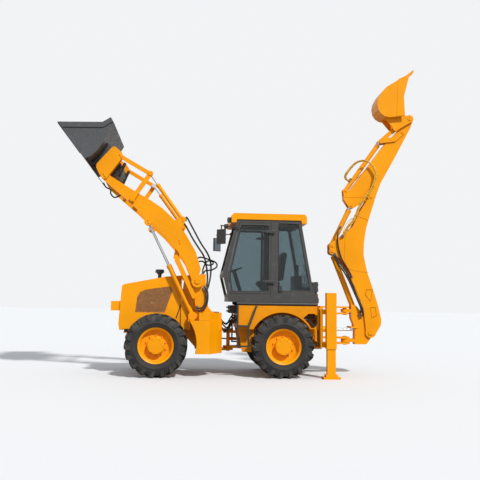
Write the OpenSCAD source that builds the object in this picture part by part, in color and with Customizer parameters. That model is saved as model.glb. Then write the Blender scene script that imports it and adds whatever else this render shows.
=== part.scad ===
// Compact backhoe loader on four equal wheels, hinged in the middle: engine and
// loader on the front frame, cab and side-shift backhoe on the rear frame.
// X points to the loader, Y to the machine's left, Z up, the ground is at Z = 0.
// Points in side views are [x, z], measured from the middle of the wheelbase.

/* [Wheels] */
// Distance between the axles
wheel_base = 2370; // [2320:10:2450]
// Distance between the middles of the tyres of one axle
track = 1570; // [1550:5:1620]
// Outer diameter of a tyre, over its lugs
tyre_d = 1165; // [1120:5:1180]
// Width of a tyre
tyre_w = 400; // [360:5:420]
// Height of the tread lugs
lug_h = 32; // [20:1:40]
// Lugs on each half of the tread
lug_count = 18; // [14:1:22]
// Radius of the bead seat
bead_r = 305; // [290:1:312]

/* [Loader arms] */
// Place of the arm pivots
arm_pivot_x = 440; // [420:5:460]
// Height of the arm pivots
arm_pivot_z = 1780; // [1760:5:1800]
// Length of an arm between its pins
arm_len = 2700; // [2650:10:2750]
// Angle of the arms in the raised travel pose
arm_rest = 47.5; // [44:0.5:49]
// Thickness of an arm
arm_t = 80; // [60:2:84]
// Distance of an arm's middle from the centreline
arm_y = 680; // [676:1:684]
// Radius of the loader's pins
pin_r = 30; // [24:1:32]

/* [Loader bucket] */
// Width of the loader bucket
bucket_w = 2000; // [1900:10:2100]
// Angle of the bucket floor above level
bucket_rest = 52.5; // [48:0.5:56]
// Thickness of the bucket plates
bucket_t = 16; // [12:1:20]

/* [Front frame] */
// Half of the width of the hood
hood_y = 440; // [420:5:448]
// Thickness of the hood's sheet
hood_t = 22; // [14:1:26]
// Outer face of the side boxes
box_y = 925; // [880:5:930]
// Place of the frame hinge
hinge_x = -200; // [-210:5:-190]
// Radius of the hinge pin
hinge_pin_r = 35; // [30:1:40]
// Radius of the tow pin bore
tow_r = 25; // [20:1:30]

/* [Cab] */
// Half of the width of the cab
cab_y = 700; // [680:5:710]
// Thickness of the cab walls
cab_t = 50; // [40:1:56]
// Height of the cab floor's underside
cab_z = 1400; // [1395:1:1405]
// Height of the cab walls
cab_top = 2985; // [2980:1:2990]

/* [Backhoe] */
// Half of the width of the kingpost
king_y = 88; // [80:1:90]
// Thickness of the boom's side plates
boom_t = 30; // [24:1:34]
// Length of the boom between its pins
boom_len = 2780; // [2740:10:2820]
// Length of the dipper between its pins
dipper_len = 1852; // [1840:4:1880]
// Width of the digging bucket
hoe_w = 480; // [440:10:560]
// Half of the span between the stabilisers' middles
leg_y = 910; // [905:1:915]
// Height of the stabiliser pads
pad_h = 85; // [70:1:90]

/* [Hidden] */
$fn = 48;
// Gap between a pin and its eye, and between a rod and its barrel
pin_gap = 0.08;
// Gap between faces that slide past each other
side_gap = 6;
axle_z = tyre_d / 2;
// Height of the pads that the frames rest on
seat_z = axle_z + 140;
// Gap between faces that slide on each other
slide_gap = 0.3;
wheel_x = wheel_base / 2;
hub_r = 60;

function rot2(p, a) = [p[0] * cos(a) - p[1] * sin(a), p[0] * sin(a) + p[1] * cos(a)];
function angle2(p, q) = atan2(q[1] - p[1], q[0] - p[0]);
function dist2(p, q) = norm(q - p);
function lerp2(p, q, t) = p + (q - p) * t;

// Loader arm: places in the arm's own frame, x from the pivot to the coupler pin
arm_p = [arm_pivot_x, arm_pivot_z];
coupler_pin = arm_p + rot2([arm_len, 0], arm_rest);
lever_foot = [1997, 86];
lever_top = [2151, 678];
coupler_top = [arm_len + 83, 475];
tilt_base = [1076, 563];
rocker_pin = [791, 239];
// Foot of the levelling link on the tower, from the arm pivot at rest
level_offset = [62, -287];
lift_top = [1476, 42];
lift_base = [520, 1125];
function arm_pt(p) = arm_p + rot2(p, arm_rest);
lever_top_w = arm_pt(lever_top);
lever_foot_w = arm_pt(lever_foot);
coupler_top_w = arm_pt(coupler_top);
tilt_base_w = arm_pt(tilt_base);
rocker_w = arm_pt(rocker_pin);
level_foot_w = arm_p + level_offset;
level_top_w = rocker_w + level_offset;
lift_top_w = arm_pt(lift_top);
// Lateral places of the loader's layers
arm_in = arm_y - arm_t / 2;
arm_out = arm_y + arm_t / 2;
lift_y = 539;
lift_r = 46;
tower_out = arm_in - side_gap - 4;
tower_t = 35;
plate_t = 26;
lever_t = 45;
tilt_y = 664;
link_t = 37;
coupler_out = arm_out + side_gap;
link_y = coupler_out - slide_gap - link_t / 2;

// Hinge of the frames
ear_t = 40;
hinge_low = 500;
hinge_high = 790;

// Backhoe: places in the machine's side view
boom_foot = [-3063, 827];
boom_rest = 90.95;
boom_tip = boom_foot + rot2([boom_len, 0], boom_rest);
boom_cyl_base = [-2860, 1000];
hump = [1615, -800];
hump_top = [1720, -802];
hump_w = boom_foot + rot2(hump, boom_rest);
hump_top_w = boom_foot + rot2(hump_top, boom_rest);
dipper_rest = 116.6;
function dip_pt(p) = boom_tip + rot2(p, dipper_rest);
dipper_tail = [-369, -273];
hoe_cyl_base = [-146, -514];
hoe_lever_foot = [dipper_len - 326, -5];
hoe_joint = [dipper_len - 707, -320];
hoe_pin = [dipper_len, 0];
hoe_link_pin = [dipper_len - 328, -175];
hoe_w_pt = dip_pt(hoe_pin);
swing_x = -2560;
swing_cyl_y = 125;
// Swing rods' eyes behind the swing axis
swing_eye = 110;
swing_cyl_z = 880;
boom_in = king_y + 7;
boom_out = boom_in + boom_t;
dipper_y = 85;
lever_in = dipper_y + 7;
hoe_lever_t = 22;
ear_in = lever_in + hoe_lever_t + 5;
hoe_ear_t = 24;

// Shift frame and stabilisers
beam_x = -1900;
beam_d = 100;
beam_low = 570;
beam_high = 1190;
beam_h = 90;
leg_x = beam_x - beam_d - 85;
leg_top = 1593;
leg_bottom = 547;
// The right leg is pulled up in the photographed pose
right_lift = 430;

// Cab side view and its windows
cab_side = [[-150, cab_z], [-155, 1480], [-40, 1935], [-300, cab_top], [-1545, cab_top],
            [-1785, 1640], [-1895, 1480], [-1895, cab_z]];
cab_room = [[-205, cab_z + cab_t], [-205, 1487], [-92, 1938], [-340, cab_top + 1], [-1500, cab_top + 1],
            [-1733, 1650], [-1840, 1490], [-1840, cab_z + cab_t]];
door_pane = [[-185, 1560], [-130, 1920], [-345, 2925], [-965, 2925], [-965, 1560]];
rear_pane = [[-1105, 1620], [-1105, 2925], [-1500, 2925], [-1725, 1650], [-1725, 1620]];
door_gap = 6;
door_t = 34;
glass_t = 10;

// Middle of the whole machine's length, from the bucket's edge to the dipper's nose
bucket_edge = [1295, -123];
nose_r = 92;
front_end = coupler_pin[0] + rot2(bucket_edge, bucket_rest)[0];
rear_end = hoe_w_pt[0] - nose_r;
middle_x = (front_end + rear_end) / 2;

// Shared shapes

// A flat plate in the side view, t thick, its middle at y
module plate(y, t) {
    translate([0, y + t / 2, 0]) rotate([90, 0, 0]) linear_extrude(t) children();
}

module pair() {
    children();
    mirror([0, 1, 0]) children();
}

// A shaft across the machine at [x, z], its middle at y
module cross_shaft(p, y, len, r) {
    translate([p[0], y, p[1]]) rotate([90, 0, 0]) cylinder(r = r, h = len, center = true);
}

// A bar between two points of the side view, its round ends a little wider than the bar
module bar2(p, q, w) {
    translate(p) circle(d = w * 1.04);
    translate(q) circle(d = w * 1.04);
    translate(p) rotate(angle2(p, q)) translate([0, -w / 2]) square([dist2(p, q), w]);
}

// Puts a shape drawn along +X at point p of the side view, turned up by angle a
module aim(p, y, a) {
    translate([p[0], y, p[1]]) rotate([0, -a, 0]) children();
}

// A hydraulic barrel along +X from its base eye, bored for its rod
module barrel(len, r, rod_r, eye_r, eye_w, pin) {
    neck = eye_r * 0.6;
    difference() {
        union() {
            rotate([90, 0, 0]) cylinder(r = eye_r, h = eye_w, center = true);
            translate([neck, 0, 0]) rotate([0, 90, 0]) cylinder(r = r, h = len - neck);
            translate([len - 60, 0, 0]) rotate([0, 90, 0]) cylinder(r = r + 4, h = 60);
        }
        rotate([90, 0, 0]) cylinder(r = pin + pin_gap, h = 2 * max(eye_w / 2, r + 5), center = true);
        translate([eye_r + 12, 0, 0]) rotate([0, 90, 0]) cylinder(r = rod_r + pin_gap, h = len);
    }
}

// A piston rod along -X from its eye
module rod(len, r, eye_r, eye_w) {
    rotate([90, 0, 0]) cylinder(r = eye_r, h = eye_w, center = true);
    translate([-len, 0, 0]) rotate([0, 90, 0]) cylinder(r = r, h = len);
}

// Wheels

module tyre() {
    carcass_r = axle_z - lug_h;
    half = tyre_w / 2;
    lug_w = 62;
    skew = 105;
    rotate([90, 0, 0]) rotate_extrude($fn = 72) polygon([
        [bead_r, -half * 0.72], [bead_r + 40, -half * 0.86], [bead_r + 110, -half * 0.98],
        [carcass_r - 75, -half * 0.9], [carcass_r - 12, -half * 0.78], [carcass_r, -half * 0.4],
        [carcass_r, half * 0.4], [carcass_r - 12, half * 0.78], [carcass_r - 75, half * 0.9],
        [bead_r + 110, half * 0.98], [bead_r + 40, half * 0.86], [bead_r, half * 0.72]]);
    intersection() {
        union() {
            for (i = [0 : lug_count - 1], side = [-1, 1])
                rotate([0, (i + side * 0.25) * 360 / lug_count, 0])
                    translate([0, 0, carcass_r - 110]) linear_extrude(lug_h + 120)
                        polygon([[-lug_w / 2, side * 6], [lug_w / 2, side * 6],
                                 [lug_w / 2 + skew, side * (half + 20)],
                                 [-lug_w / 2 + skew, side * (half + 20)]]);
        }
        // The lugs are cut off slanted over the shoulders
        rotate([90, 0, 0]) rotate_extrude($fn = 96) polygon([
            [carcass_r - 92, -half * 0.97], [axle_z - 26, -half * 0.97], [axle_z, -half * 0.88],
            [axle_z, half * 0.88], [axle_z - 26, half * 0.97], [carcass_r - 92, half * 0.97],
            [carcass_r - 92, half * 0.88], [carcass_r - 30, half * 0.7], [carcass_r - 30, -half * 0.7],
            [carcass_r - 92, -half * 0.88]]);
    }
}

// Outboard is +Y
module rim() {
    half = tyre_w * 0.36;
    rotate([-90, 0, 0]) rotate_extrude($fn = 72) polygon([
        [bead_r, -half], [bead_r + 26, -half - 20], [bead_r + 26, -half - 32], [bead_r - 12, -half - 8],
        [bead_r - 22, -half + 40], [bead_r - 30, 40], [200, 30], [165, 60], [90, 60],
        [90, 10], [hub_r + pin_gap, 10], [hub_r + pin_gap, 150], [0, 150], [0, 176], [148, 176], [158, 166],
        [162, 66], [205, 56], [bead_r - 45, 66], [bead_r - 16, 100], [bead_r - 12, half + 8],
        [bead_r + 26, half + 32], [bead_r + 26, half + 20], [bead_r, half]]);
}

module wheel_at(x, side) {
    translate([x, side * track / 2, axle_z]) scale_side(side) children();
}

// Turns a piece made for the left side to the right one
module scale_side(side) {
    if (side > 0) children();
    else mirror([0, 1, 0]) children();
}

// An axle beam with its drive head and hub spindles
module axle(x) {
    spindle_end = track / 2 + 140;
    translate([x, 0, axle_z]) {
        rotate([90, 0, 0]) cylinder(r = 80, h = 2 * (track / 2 - 120), center = true);
        rotate([90, 0, 0]) cylinder(r = hub_r, h = 2 * spindle_end, center = true);
        pair() translate([0, track / 2 - 150, 0]) rotate([-90, 0, 0]) cylinder(r = 130, h = 130);
        sphere(r = 175);
        translate([-210, 0, 0]) rotate([0, 90, 0]) cylinder(r = 90, h = 150);
    }
}

module rear_axle() {
    color("goldenrod") {
        axle(-wheel_x);
        pair() translate([-wheel_x - 90, 300, axle_z + 70]) cube([180, 90, seat_z - axle_z - 70]);
    }
}

module front_axle() {
    color("goldenrod") {
        axle(wheel_x);
        pair() translate([wheel_x - 90, 300, axle_z + 70]) cube([180, 90, seat_z - axle_z - 70]);
    }
}

// Front frame

module hinge_ear(x0, y0, z, r, bore) {
    translate([0, 0, z]) difference() {
        linear_extrude(ear_t) union() {
            polygon([[x0, -y0], [x0, y0], [hinge_x, r], [hinge_x, -r]]);
            translate([hinge_x, 0]) circle(r = r);
        }
        if (bore > 0) translate([hinge_x, 0, -1]) cylinder(r = bore, h = ear_t + 2);
    }
}

frame_rail_y = 300;
tow_x = 1700;
tow_t = 30;
tower_rear = [[560, 1700], [397, 1917], [283, 1917], [270, 1560], [225, 1300], [150, 1210], [60, 1178], [-20, 1178],
              [-20, 860]];
// The outer plate leaves the lift barrel in view, the inner one reaches forward to the hood
tower_outer = concat([[455, 860], [455, 1250], [500, 1500], [552, 1640]], tower_rear);
tower_inner = concat([[740, 860], [740, 1400], [700, 1780], [600, 1840], [520, 1860]], tower_rear);

module tower_plate(y, t, side) {
    plate(y, t) union() {
        polygon(side);
        translate(arm_p) circle(r = 125);
        translate(lift_base) circle(r = 82);
    }
}

module side_box() {
    box_in = tower_out - tower_t - 80;
    difference() {
        translate([0, 0, 433]) linear_extrude(1042 - 433)
            polygon([[590, box_in], [590, tower_out - 5], [560, box_y], [200, box_y], [-50, 545], [-50, box_in]]);
        translate([wheel_x, box_in - 1, axle_z + 18]) rotate([-90, 0, 0]) cylinder(r = 750, h = 600);
    }
    // Narrower band on top of the box
    translate([0, 0, 1040]) linear_extrude(150)
        polygon([[400, box_in + 10], [400, box_y - 20], [196, box_y - 20], [-36, 548], [-36, box_in + 10]]);
}

module front_frame() {
    pin_z = hinge_low - ear_t - side_gap - 20;
    color("orange") difference() {
        union() {
            pair() {
                plate(frame_rail_y, 30) polygon([[20, 455], [400, 455], [640, seat_z], [1740, seat_z], [1760, 847],
                                                 [1890, 847], [1890, 855], [20, 875]]);
                tower_plate(tower_out - tower_t / 2, tower_t, tower_outer);
                tower_plate(470, plate_t, tower_inner);
                side_box();
                // Hood hinge
                plate(464, 38) polygon([[500, 1640], [560, 1700], [740, 1835], [785, 1852], [785, 1888], [740, 1895], [397, 1900]]);
            }
            translate([20, -620, 455]) cube([40, 1240, 720]);
            translate([560, -620, 860]) cube([40, 1240, 240]);
            translate([240, -475, 1178]) cube([40, 950, 560]);
            // Bar under the hood's nose, and the tow plate behind it
            translate([1850, -hood_y, 838]) cube([60, 2 * hood_y, 862 - slide_gap - 838]);
            translate([tow_x, -290, 600]) cube([tow_t, 580, 185]);
            translate([870, -290, 780]) cube([970, 580, 20]);
            hinge_ear(40, 280, hinge_low - ear_t - side_gap, 100, 0);
            hinge_ear(40, 280, hinge_high + ear_t + side_gap, 100, 0);
            for (z = [steer_z - 52, steer_z + 34]) translate([steer_top[0] - 38, steer_top[1] - 40, z]) cube([90, 80, 18]);
        }
        // Tow pin bore in the nose plate
        translate([tow_x - 10, 0, 690]) rotate([0, 90, 0]) cylinder(r = tow_r, h = 50);
        // Room for the lift cylinders between the two tower plates
        pair() translate([380, 484, 1050]) cube([300, tower_out - tower_t - 484, 280]);
    }
    color("orange") {
        translate([hinge_x, 0, pin_z]) cylinder(r = hinge_pin_r, h = hinge_high + 2 * ear_t + side_gap + 20 - pin_z);
        pair() {
            cross_shaft(arm_p, (arm_out + 465) / 2, arm_out - 465 + 10, pin_r);
            cross_shaft(lift_base, (tower_out + 465) / 2, tower_out - 475, pin_r);
            cross_shaft(level_foot_w, (arm_in + 45 + tower_out - 10) / 2, 45 + arm_in - tower_out + 10, 26);
            cross_shaft(hood_hinge, 440, 46, 12);
        }
    }
}

module engine() {
    color("dimgray") {
        translate([890, -240, 800]) cube([780, 480, 600]);
        translate([930, -180, 1400]) cube([540, 360, 160]);
        translate([1740, -280, 800]) cube([90, 560, 700]);
    }
}

// Hood

hood_hinge = [760, 1870];
hood_side = [[745, 880], [745, 1893], [1040, 1868], [1840, 1712], [1885, 1680], [1930, 960], [1912, 862], [1700, 862]];
cleaner_x = 1180;
cleaner_y = 180;
grille_pane = [[1620, 1175], [1590, 1460], [1540, 1560], [1440, 1608], [960, 1680], [910, 1610], [1055, 1175]];

module hood() {
    color("orange") difference() {
        plate(0, 2 * hood_y) polygon(hood_side);
        plate(0, 2 * (hood_y - hood_t))
            polygon([[744, 861], [744, 1870], [1038, 1845], [1830, 1690], [1862, 1664], [1907, 962], [1890, 861]]);
        pair() plate(hood_y, 80) polygon(grille_pane);
        translate([1800, -300, 1080]) cube([200, 600, 460]);
        cross_shaft(hood_hinge, 0, 2 * hood_y + 2, 12 + pin_gap);
        translate([cleaner_x, cleaner_y, 1700]) cylinder(r = 36 + slide_gap, h = 200);
    }
    // Lamp boxes on the nose, open in front
    color("orange") pair() difference() {
        plate(325, 150) polygon([[1909.5, 1205], [1898, 1385], [2085, 1385], [2085, 1205]]);
        translate([2071, 268, 1223]) cube([20, 114, 144]);
    }
}

module hood_grilles() {
    color("sienna") {
        pair() plate(hood_y - 12, 8) polygon(grille_pane);
        for (z = [1095 : 44 : 1520]) translate([1902 - (z - 1080) * 0.0635, -300, z]) cube([14, 600, 20]);
    }
}

module hood_fittings() {
    color("black") translate([cleaner_x, cleaner_y, 0]) {
        translate([0, 0, 1815]) cylinder(r = 36, h = 125);
        translate([0, 0, 1925]) cylinder(r = 62, h = 26);
        translate([0, 0, 1951]) cylinder(r1 = 92, r2 = 80, h = 60);
    }
}

// Loader

module loader_arms() {
    upper = [[arm_len, 72], [arm_len - 96, 82], [2091, 236], [1748, 350], [1497, 415], [1250, 440], [1034, 440], [803, 420],
             [449, 345], [124, 196]];
    lower = [[-40, -105], [110, -60], [430, 60], [769, 100], [1133, 104], [1554, 62], [1976, 20],
             [arm_len - 109, -62], [arm_len, -72]];
    color("orange") aim(arm_p, 0, arm_rest) {
        pair() difference() {
            union() {
                plate(arm_y, arm_t) union() {
                    polygon(concat(upper, lower));
                    circle(r = 118);
                    translate([arm_len, 0]) circle(r = 72);
                    translate(tilt_base) circle(r = 60);
                    polygon([tilt_base + [-60, 0], tilt_base + [60, 0], [1180, 380], [930, 380]]);
                    translate(lift_top) circle(r = 75);
                }
                cross_shaft(rocker_pin, arm_in - 15, 50, 40);
                // Pin for the lift cylinder's rod
                cross_shaft(lift_top, 605, 80, pin_r);
                cross_shaft(lever_foot, arm_out + 30, 64, pin_r);
            }
            cross_shaft([0, 0], arm_y, arm_t + 2, pin_r + pin_gap);
            cross_shaft([arm_len, 0], arm_y, arm_t + 2, pin_r + pin_gap);
            translate([tilt_base[0], tilt_y, tilt_base[1]]) cube([150, 86, 150], center = true);
        }
        pair() cross_shaft(tilt_base, arm_y, arm_t, 22);
        cross_shaft([2060, 120], 0, 2 * arm_in + 10, 60);
        cross_shaft([2330, 40], 0, 2 * arm_in + 10, 36);
    }
}

lift_len = dist2(lift_base, lift_top_w);
lift_ang = angle2(lift_base, lift_top_w);
module lift_barrels() {
    color("orange") pair() aim(lift_base, lift_y, lift_ang) barrel(1075, lift_r, 26, 48, 56, pin_r);
}
module lift_rods() {
    color("silver") pair() aim(lift_top_w, lift_y, lift_ang) rod(1085, 26, 46, 50);
}

tilt_ang = angle2(tilt_base_w, lever_top_w);
module tilt_barrels() {
    color("orange") pair() aim(tilt_base_w, tilt_y, tilt_ang) barrel(845, 37, 18, 40, 44, 22);
}
module tilt_rods() {
    color("silver") pair() aim(lever_top_w, tilt_y, tilt_ang) rod(830, 18, 42, 30);
}

module tilt_levers() {
    y = arm_out + side_gap + lever_t / 2;
    color("orange") pair() difference() {
        union() {
            plate(y, lever_t) union() {
                bar2(lever_foot_w, lever_top_w, 84);
                translate(lever_top_w) circle(r = 55);
                translate(lever_foot_w) circle(r = 55);
            }
            cross_shaft(lever_top_w, (link_y - link_t / 2 + y) / 2, y - link_y + link_t / 2, 24);
        }
        cross_shaft(lever_foot_w, y, lever_t + 2, pin_r + pin_gap);
    }
}

module tilt_links() {
    color("orange") pair() difference() {
        plate(link_y, link_t) bar2(lever_top_w, coupler_top_w, 76);
        cross_shaft(lever_top_w, link_y, 40, 24 + pin_gap);
    }
}

// Levelling rockers on the arms and the links that hold them upright
module level_rockers() {
    y = arm_in - side_gap - 14;
    color("orange") pair() difference() {
        plate(y, 24) bar2(level_top_w, rocker_w, 96);
        cross_shaft(rocker_w, y, 40, 40 + pin_gap);
    }
}

module level_links() {
    y = arm_in + 25;
    color("orange") pair() difference() {
        plate(y, 40) bar2(level_foot_w, level_top_w, 84);
        cross_shaft(level_foot_w, y, 60, 26 + pin_gap);
    }
}

// Coupler and bucket, drawn with x along the bucket floor from the coupler pin
coupler_side = [[-58, 42], [70, 440], [100, 505], [170, 525], [338, 490], [362, 440], [270, 20], [215, -40], [60, -66]];
// Front face of the hitch, where the bucket rests
hitch_low = [262, -18];
hitch_high = [352, 452];
module coupler() {
    color("orange") aim(coupler_pin, 0, bucket_rest) {
        pair() {
            for (y = [coupler_out + 12, arm_in - side_gap - 12]) plate(y, 24) union() {
                circle(r = 72);
                polygon(coupler_side);
            }
            cross_shaft([0, 0], arm_y, arm_t + 2 * side_gap + 2, pin_r);
        }
        cross_shaft([200, 45], 0, 2 * (arm_in - side_gap - 10), 46);
        cross_shaft([284, 400], 0, 2 * (arm_in - side_gap - 10), 46);
        plate(0, 2 * coupler_out + 4) polygon([hitch_low, hitch_high, hitch_high + [-18, 3], hitch_low + [-18, 3]]);
    }
}

bucket_back = [[422, -123], [392, 20], [410, 160], [462, 310], [560, 510], [650, 724]];
module loader_bucket() {
    t = bucket_t;
    side = concat(bucket_back, [[784, 742], [800, 560], [1270, -90], [1295, -123]]);
    // The floor plate runs on behind the back's bend
    skin = concat([[240, -123], [240, -109], [419, -109]], [for (i = [1 : 5]) bucket_back[i]],
                  [[784, 742], [784, 722], [672, 705], [578, 500], [480, 304], [428, 158], [410, 20],
                   [438, -107], [1200, -107], [1250, -95], [1295, -123]]);
    color("dimgray") aim(coupler_pin, 0, bucket_rest) {
        plate(0, bucket_w) polygon(skin);
        pair() plate(bucket_w / 2 - t / 2, t) polygon(side);
        pair() plate(bucket_w / 2 + 4, 8) polygon([[1295, -123], [800, 560], [784, 742], [690, 729], [708, 510], [1148, -100]]);
        for (y = [-560, -200, 200, 560]) plate(y, 25)
            polygon([hitch_low + [slide_gap * 1.02, 0], lerp2(hitch_low, hitch_high, 0.98) + [slide_gap * 1.02, 0],
                     [520, 420], [480, 310], [425, 160], [408, 20], [420, -60]]);
    }
}

// Steering cylinder beside the hinge, on the right
steer_base = [-540, -180];
steer_top = [-25, -330];
steer_z = 660;
module steering_barrel() {
    color("orange") translate([steer_base[0], steer_base[1], steer_z]) rotate([0, 0, angle2(steer_base, steer_top)])
        rotate([90, 0, 0]) barrel(345, 30, 16, 34, 40, 18);
}
module steering_rod() {
    color("silver") translate([steer_top[0], steer_top[1], steer_z]) rotate([0, 0, angle2(steer_base, steer_top)])
        rotate([90, 0, 0]) rod(338, 16, 24, 40);
}

// Rear frame

module rear_frame() {
    arch_r = axle_z + 45;
    color("orange") {
        difference() {
            union() {
                pair() {
                    plate(frame_rail_y, 30) polygon([[-540, 470], [-540, 900], [-1890, 1180], [-1890, 760],
                                                     [-1500, seat_z], [-900, seat_z], [-760, 470]]);
                    plate(715, 30) polygon([[-350, 890], [-350, 1335], [-1880, 1335], [-1880, 905], [-700, 905], [-620, 890]]);
                    plate(485, 30) polygon([[-440, 450], [-360, 900], [-700, 900], [-680, 450]]);
                }
                translate([-560, -500, 470]) cube([40, 1000, 430]);
                translate([-390, -730, 890]) cube([40, 1460, 445]);
                translate([-1890, -730, 1225]) cube([1500, 1460, 110]);
                translate([-1890, -730, 905]) cube([30, 1460, 330]);
                translate([-860, -300, 500]) cube([40, 600, 400]);
                hinge_ear(-540, 280, hinge_low, 100, hinge_pin_r + pin_gap);
                hinge_ear(-540, 280, hinge_high, 100, hinge_pin_r + pin_gap);
            }
            pair() translate([-wheel_x, 520, axle_z]) rotate([-90, 0, 0]) cylinder(r = arch_r, h = 300);
            // Opening behind the wheel
            pair() plate(715, 60) polygon([[-1588, 1110], [-1690, 1195], [-1800, 1195], [-1868, 1150], [-1868, 1000],
                                           [-1800, 925], [-1740, 925], [-1690, 1010]]);
            // Window for the steering cylinder
            translate([-600, steer_base[1] - 90, steer_z - 55]) cube([120, 170, 110]);
        }
        translate([steer_base[0], steer_base[1], steer_z - 60]) cylinder(r = 18, h = 120);
    }
}

module steps() {
    color("black") pair() {
        translate([-345, 790, 560]) cube([30, 34, 770]);
        plate(807, 34) polygon([[-700, 1330], [-664, 1330], [-519, 925], [-519, 560], [-553, 560], [-553, 920]]);
        for (z = [560, 940]) translate([-553, 730, z]) cube([238, 94, 26]);
        for (x = [-345, -698]) translate([x, 730, 1300]) cube([30, 94, 30]);
        // Valve block on the rear frame's front wall
        translate([-350, 0, 1180]) cube([150, 290, 150]);
    }
}

module shift_frame() {
    color("orange") {
        for (z = [beam_low, beam_high]) translate([beam_x - beam_d, -(leg_y - 65), z]) cube([beam_d, 2 * (leg_y - 65), beam_h]);
        pair() {
            difference() {
                translate([leg_x - 95, leg_y - 65, leg_bottom]) cube([190, 130, leg_top - leg_bottom]);
                translate([leg_x - 80, leg_y - 50, leg_bottom - 1]) cube([160, 100, leg_top - leg_bottom - 19]);
            }
            translate([beam_x - 30, 600, beam_low]) cube([30, leg_y - 65 - 600, beam_high + beam_h - beam_low]);
            translate([beam_x - 30, 285, beam_low]) cube([40, 30, beam_high + beam_h - beam_low]);
        }
    }
}

// Cab

module cab_frame() {
    color("dimgray") {
        difference() {
            plate(0, 2 * cab_y) polygon(cab_side);
            plate(0, 2 * (cab_y - cab_t)) polygon(cab_room);
            pair() plate(cab_y - 10, 2 * cab_t) polygon(door_pane);
            pair() plate(cab_y - 10, 2 * cab_t) polygon(rear_pane);
            // Windscreens in front, and the rear window
            translate([-420, -600, 2010]) cube([420, 1200, 890]);
            translate([-250, -600, 1540]) cube([250, 1200, 340]);
            translate([-2000, -600, 1700]) cube([520, 1200, 1190]);
        }
        // Sill rails on the deck
        pair() translate([-1850, 560, 1335]) cube([1500, 100, cab_z - 1330]);
    }
}

module cab_roof() {
    color("orange") plate(0, 2 * (cab_y + 20)) polygon([
        [-190, 2925], [-282, 2925], [-297, cab_top], [-1548, cab_top], [-1562, 2925], [-1660, 2925],
        [-1660, 3060], [-1620, 3105], [-240, 3105], [-190, 3060]]);
}

module cab_glass() {
    color("lightblue") {
        pair() plate(cab_y - cab_t / 2, glass_t) polygon(rear_pane);
        plate(0, 1200) polygon([[-84, 2010], [-96, 2010], [-316, 2900], [-304, 2900]]);
        plate(0, 1200) polygon([[-165, 1540], [-177, 1540], [-92, 1880], [-80, 1880]]);
        plate(0, 1200) polygon([[-1748, 1700], [-1736, 1700], [-1524, 2890], [-1536, 2890]]);
    }
}

module door_ring() {
    inset = 38;
    g = door_gap;
    outer = [door_pane[0] + [-g, g], door_pane[1] + [-g, 0], door_pane[2] + [-g, -g], door_pane[3] + [g, -g],
             door_pane[4] + [g, g]];
    inner = [outer[0] + [-inset, inset], outer[1] + [-inset, 0], outer[2] + [-inset, -inset],
             outer[3] + [inset, -inset], outer[4] + [inset, inset]];
    difference() {
        plate(cab_y - door_t / 2, door_t) polygon(outer);
        plate(cab_y - door_t / 2, door_t + 2) polygon(inner);
    }
    // Handle bar and hinge straps
    translate([-176, cab_y, 1800]) cube([28, 30, 130]);
    for (z = [1791, 2752]) {
        translate([-1010, cab_y, z - 25]) cube([160, 26, 50]);
        translate([-1016, cab_y + 26, z - 40]) cylinder(r = 14, h = 80);
    }
}

module door_glass() {
    inset = 38 + door_gap;
    plate(cab_y - door_t / 2, glass_t) polygon([
        door_pane[0] + [-inset, inset], door_pane[1] + [-inset, 0], door_pane[2] + [-inset, -inset],
        door_pane[3] + [inset, -inset], door_pane[4] + [inset, inset]]);
}

module seat() {
    color("black") {
        translate([-1180, -170, 1450]) cube([360, 340, 260]);
        translate([-1240, -250, 1700]) cube([500, 500, 130]);
        translate([-1270, -240, 1790]) rotate([0, -8, 0]) cube([110, 480, 640]);
    }
}

module controls() {
    color("black") {
        translate([-540, -150, 1450]) cube([120, 120, 50]);
        translate([-480, -90, 1480]) rotate([0, 18, 0]) {
            cylinder(r = 40, h = 590);
            translate([0, 0, 580]) rotate_extrude() translate([170, 0]) circle(r = 15);
            translate([-170, -18, 572]) cube([340, 36, 16]);
        }
        translate([-1640, -260, 1450]) cube([150, 520, 480]);
        for (y = [-200, -80, 80, 200]) translate([-1570, y, 1925]) cylinder(r = 12, h = 220);
    }
}

module cab_fittings() {
    color("black") pair() {
        // Mirror on its arm
        translate([-340, cab_y, 2800]) cube([90, 24, 60]);
        translate([-290, cab_y + 12, 2830]) rotate([0, 0, 37.4]) rotate([0, 90, 0]) cylinder(r = 11, h = 404);
        translate([15, 945, 2600]) cylinder(r = 12, h = 230);
        translate([15, 945, 2618]) rotate([0, 0, -45]) translate([-105, -14, -140]) cube([210, 28, 280]);
        // Lamp at the roof's front corner
        translate([-190, 520, 2935]) cube([70, 130, 90]);
        // Tube along the deck on its clips
        translate([-1860, 700, 1370]) rotate([0, 90, 0]) cylinder(r = 28, h = 1540);
        for (x = [-1700, -1080, -420]) translate([x, 685, 1335]) cube([30, 30, 20]);
    }
}

// Backhoe

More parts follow.
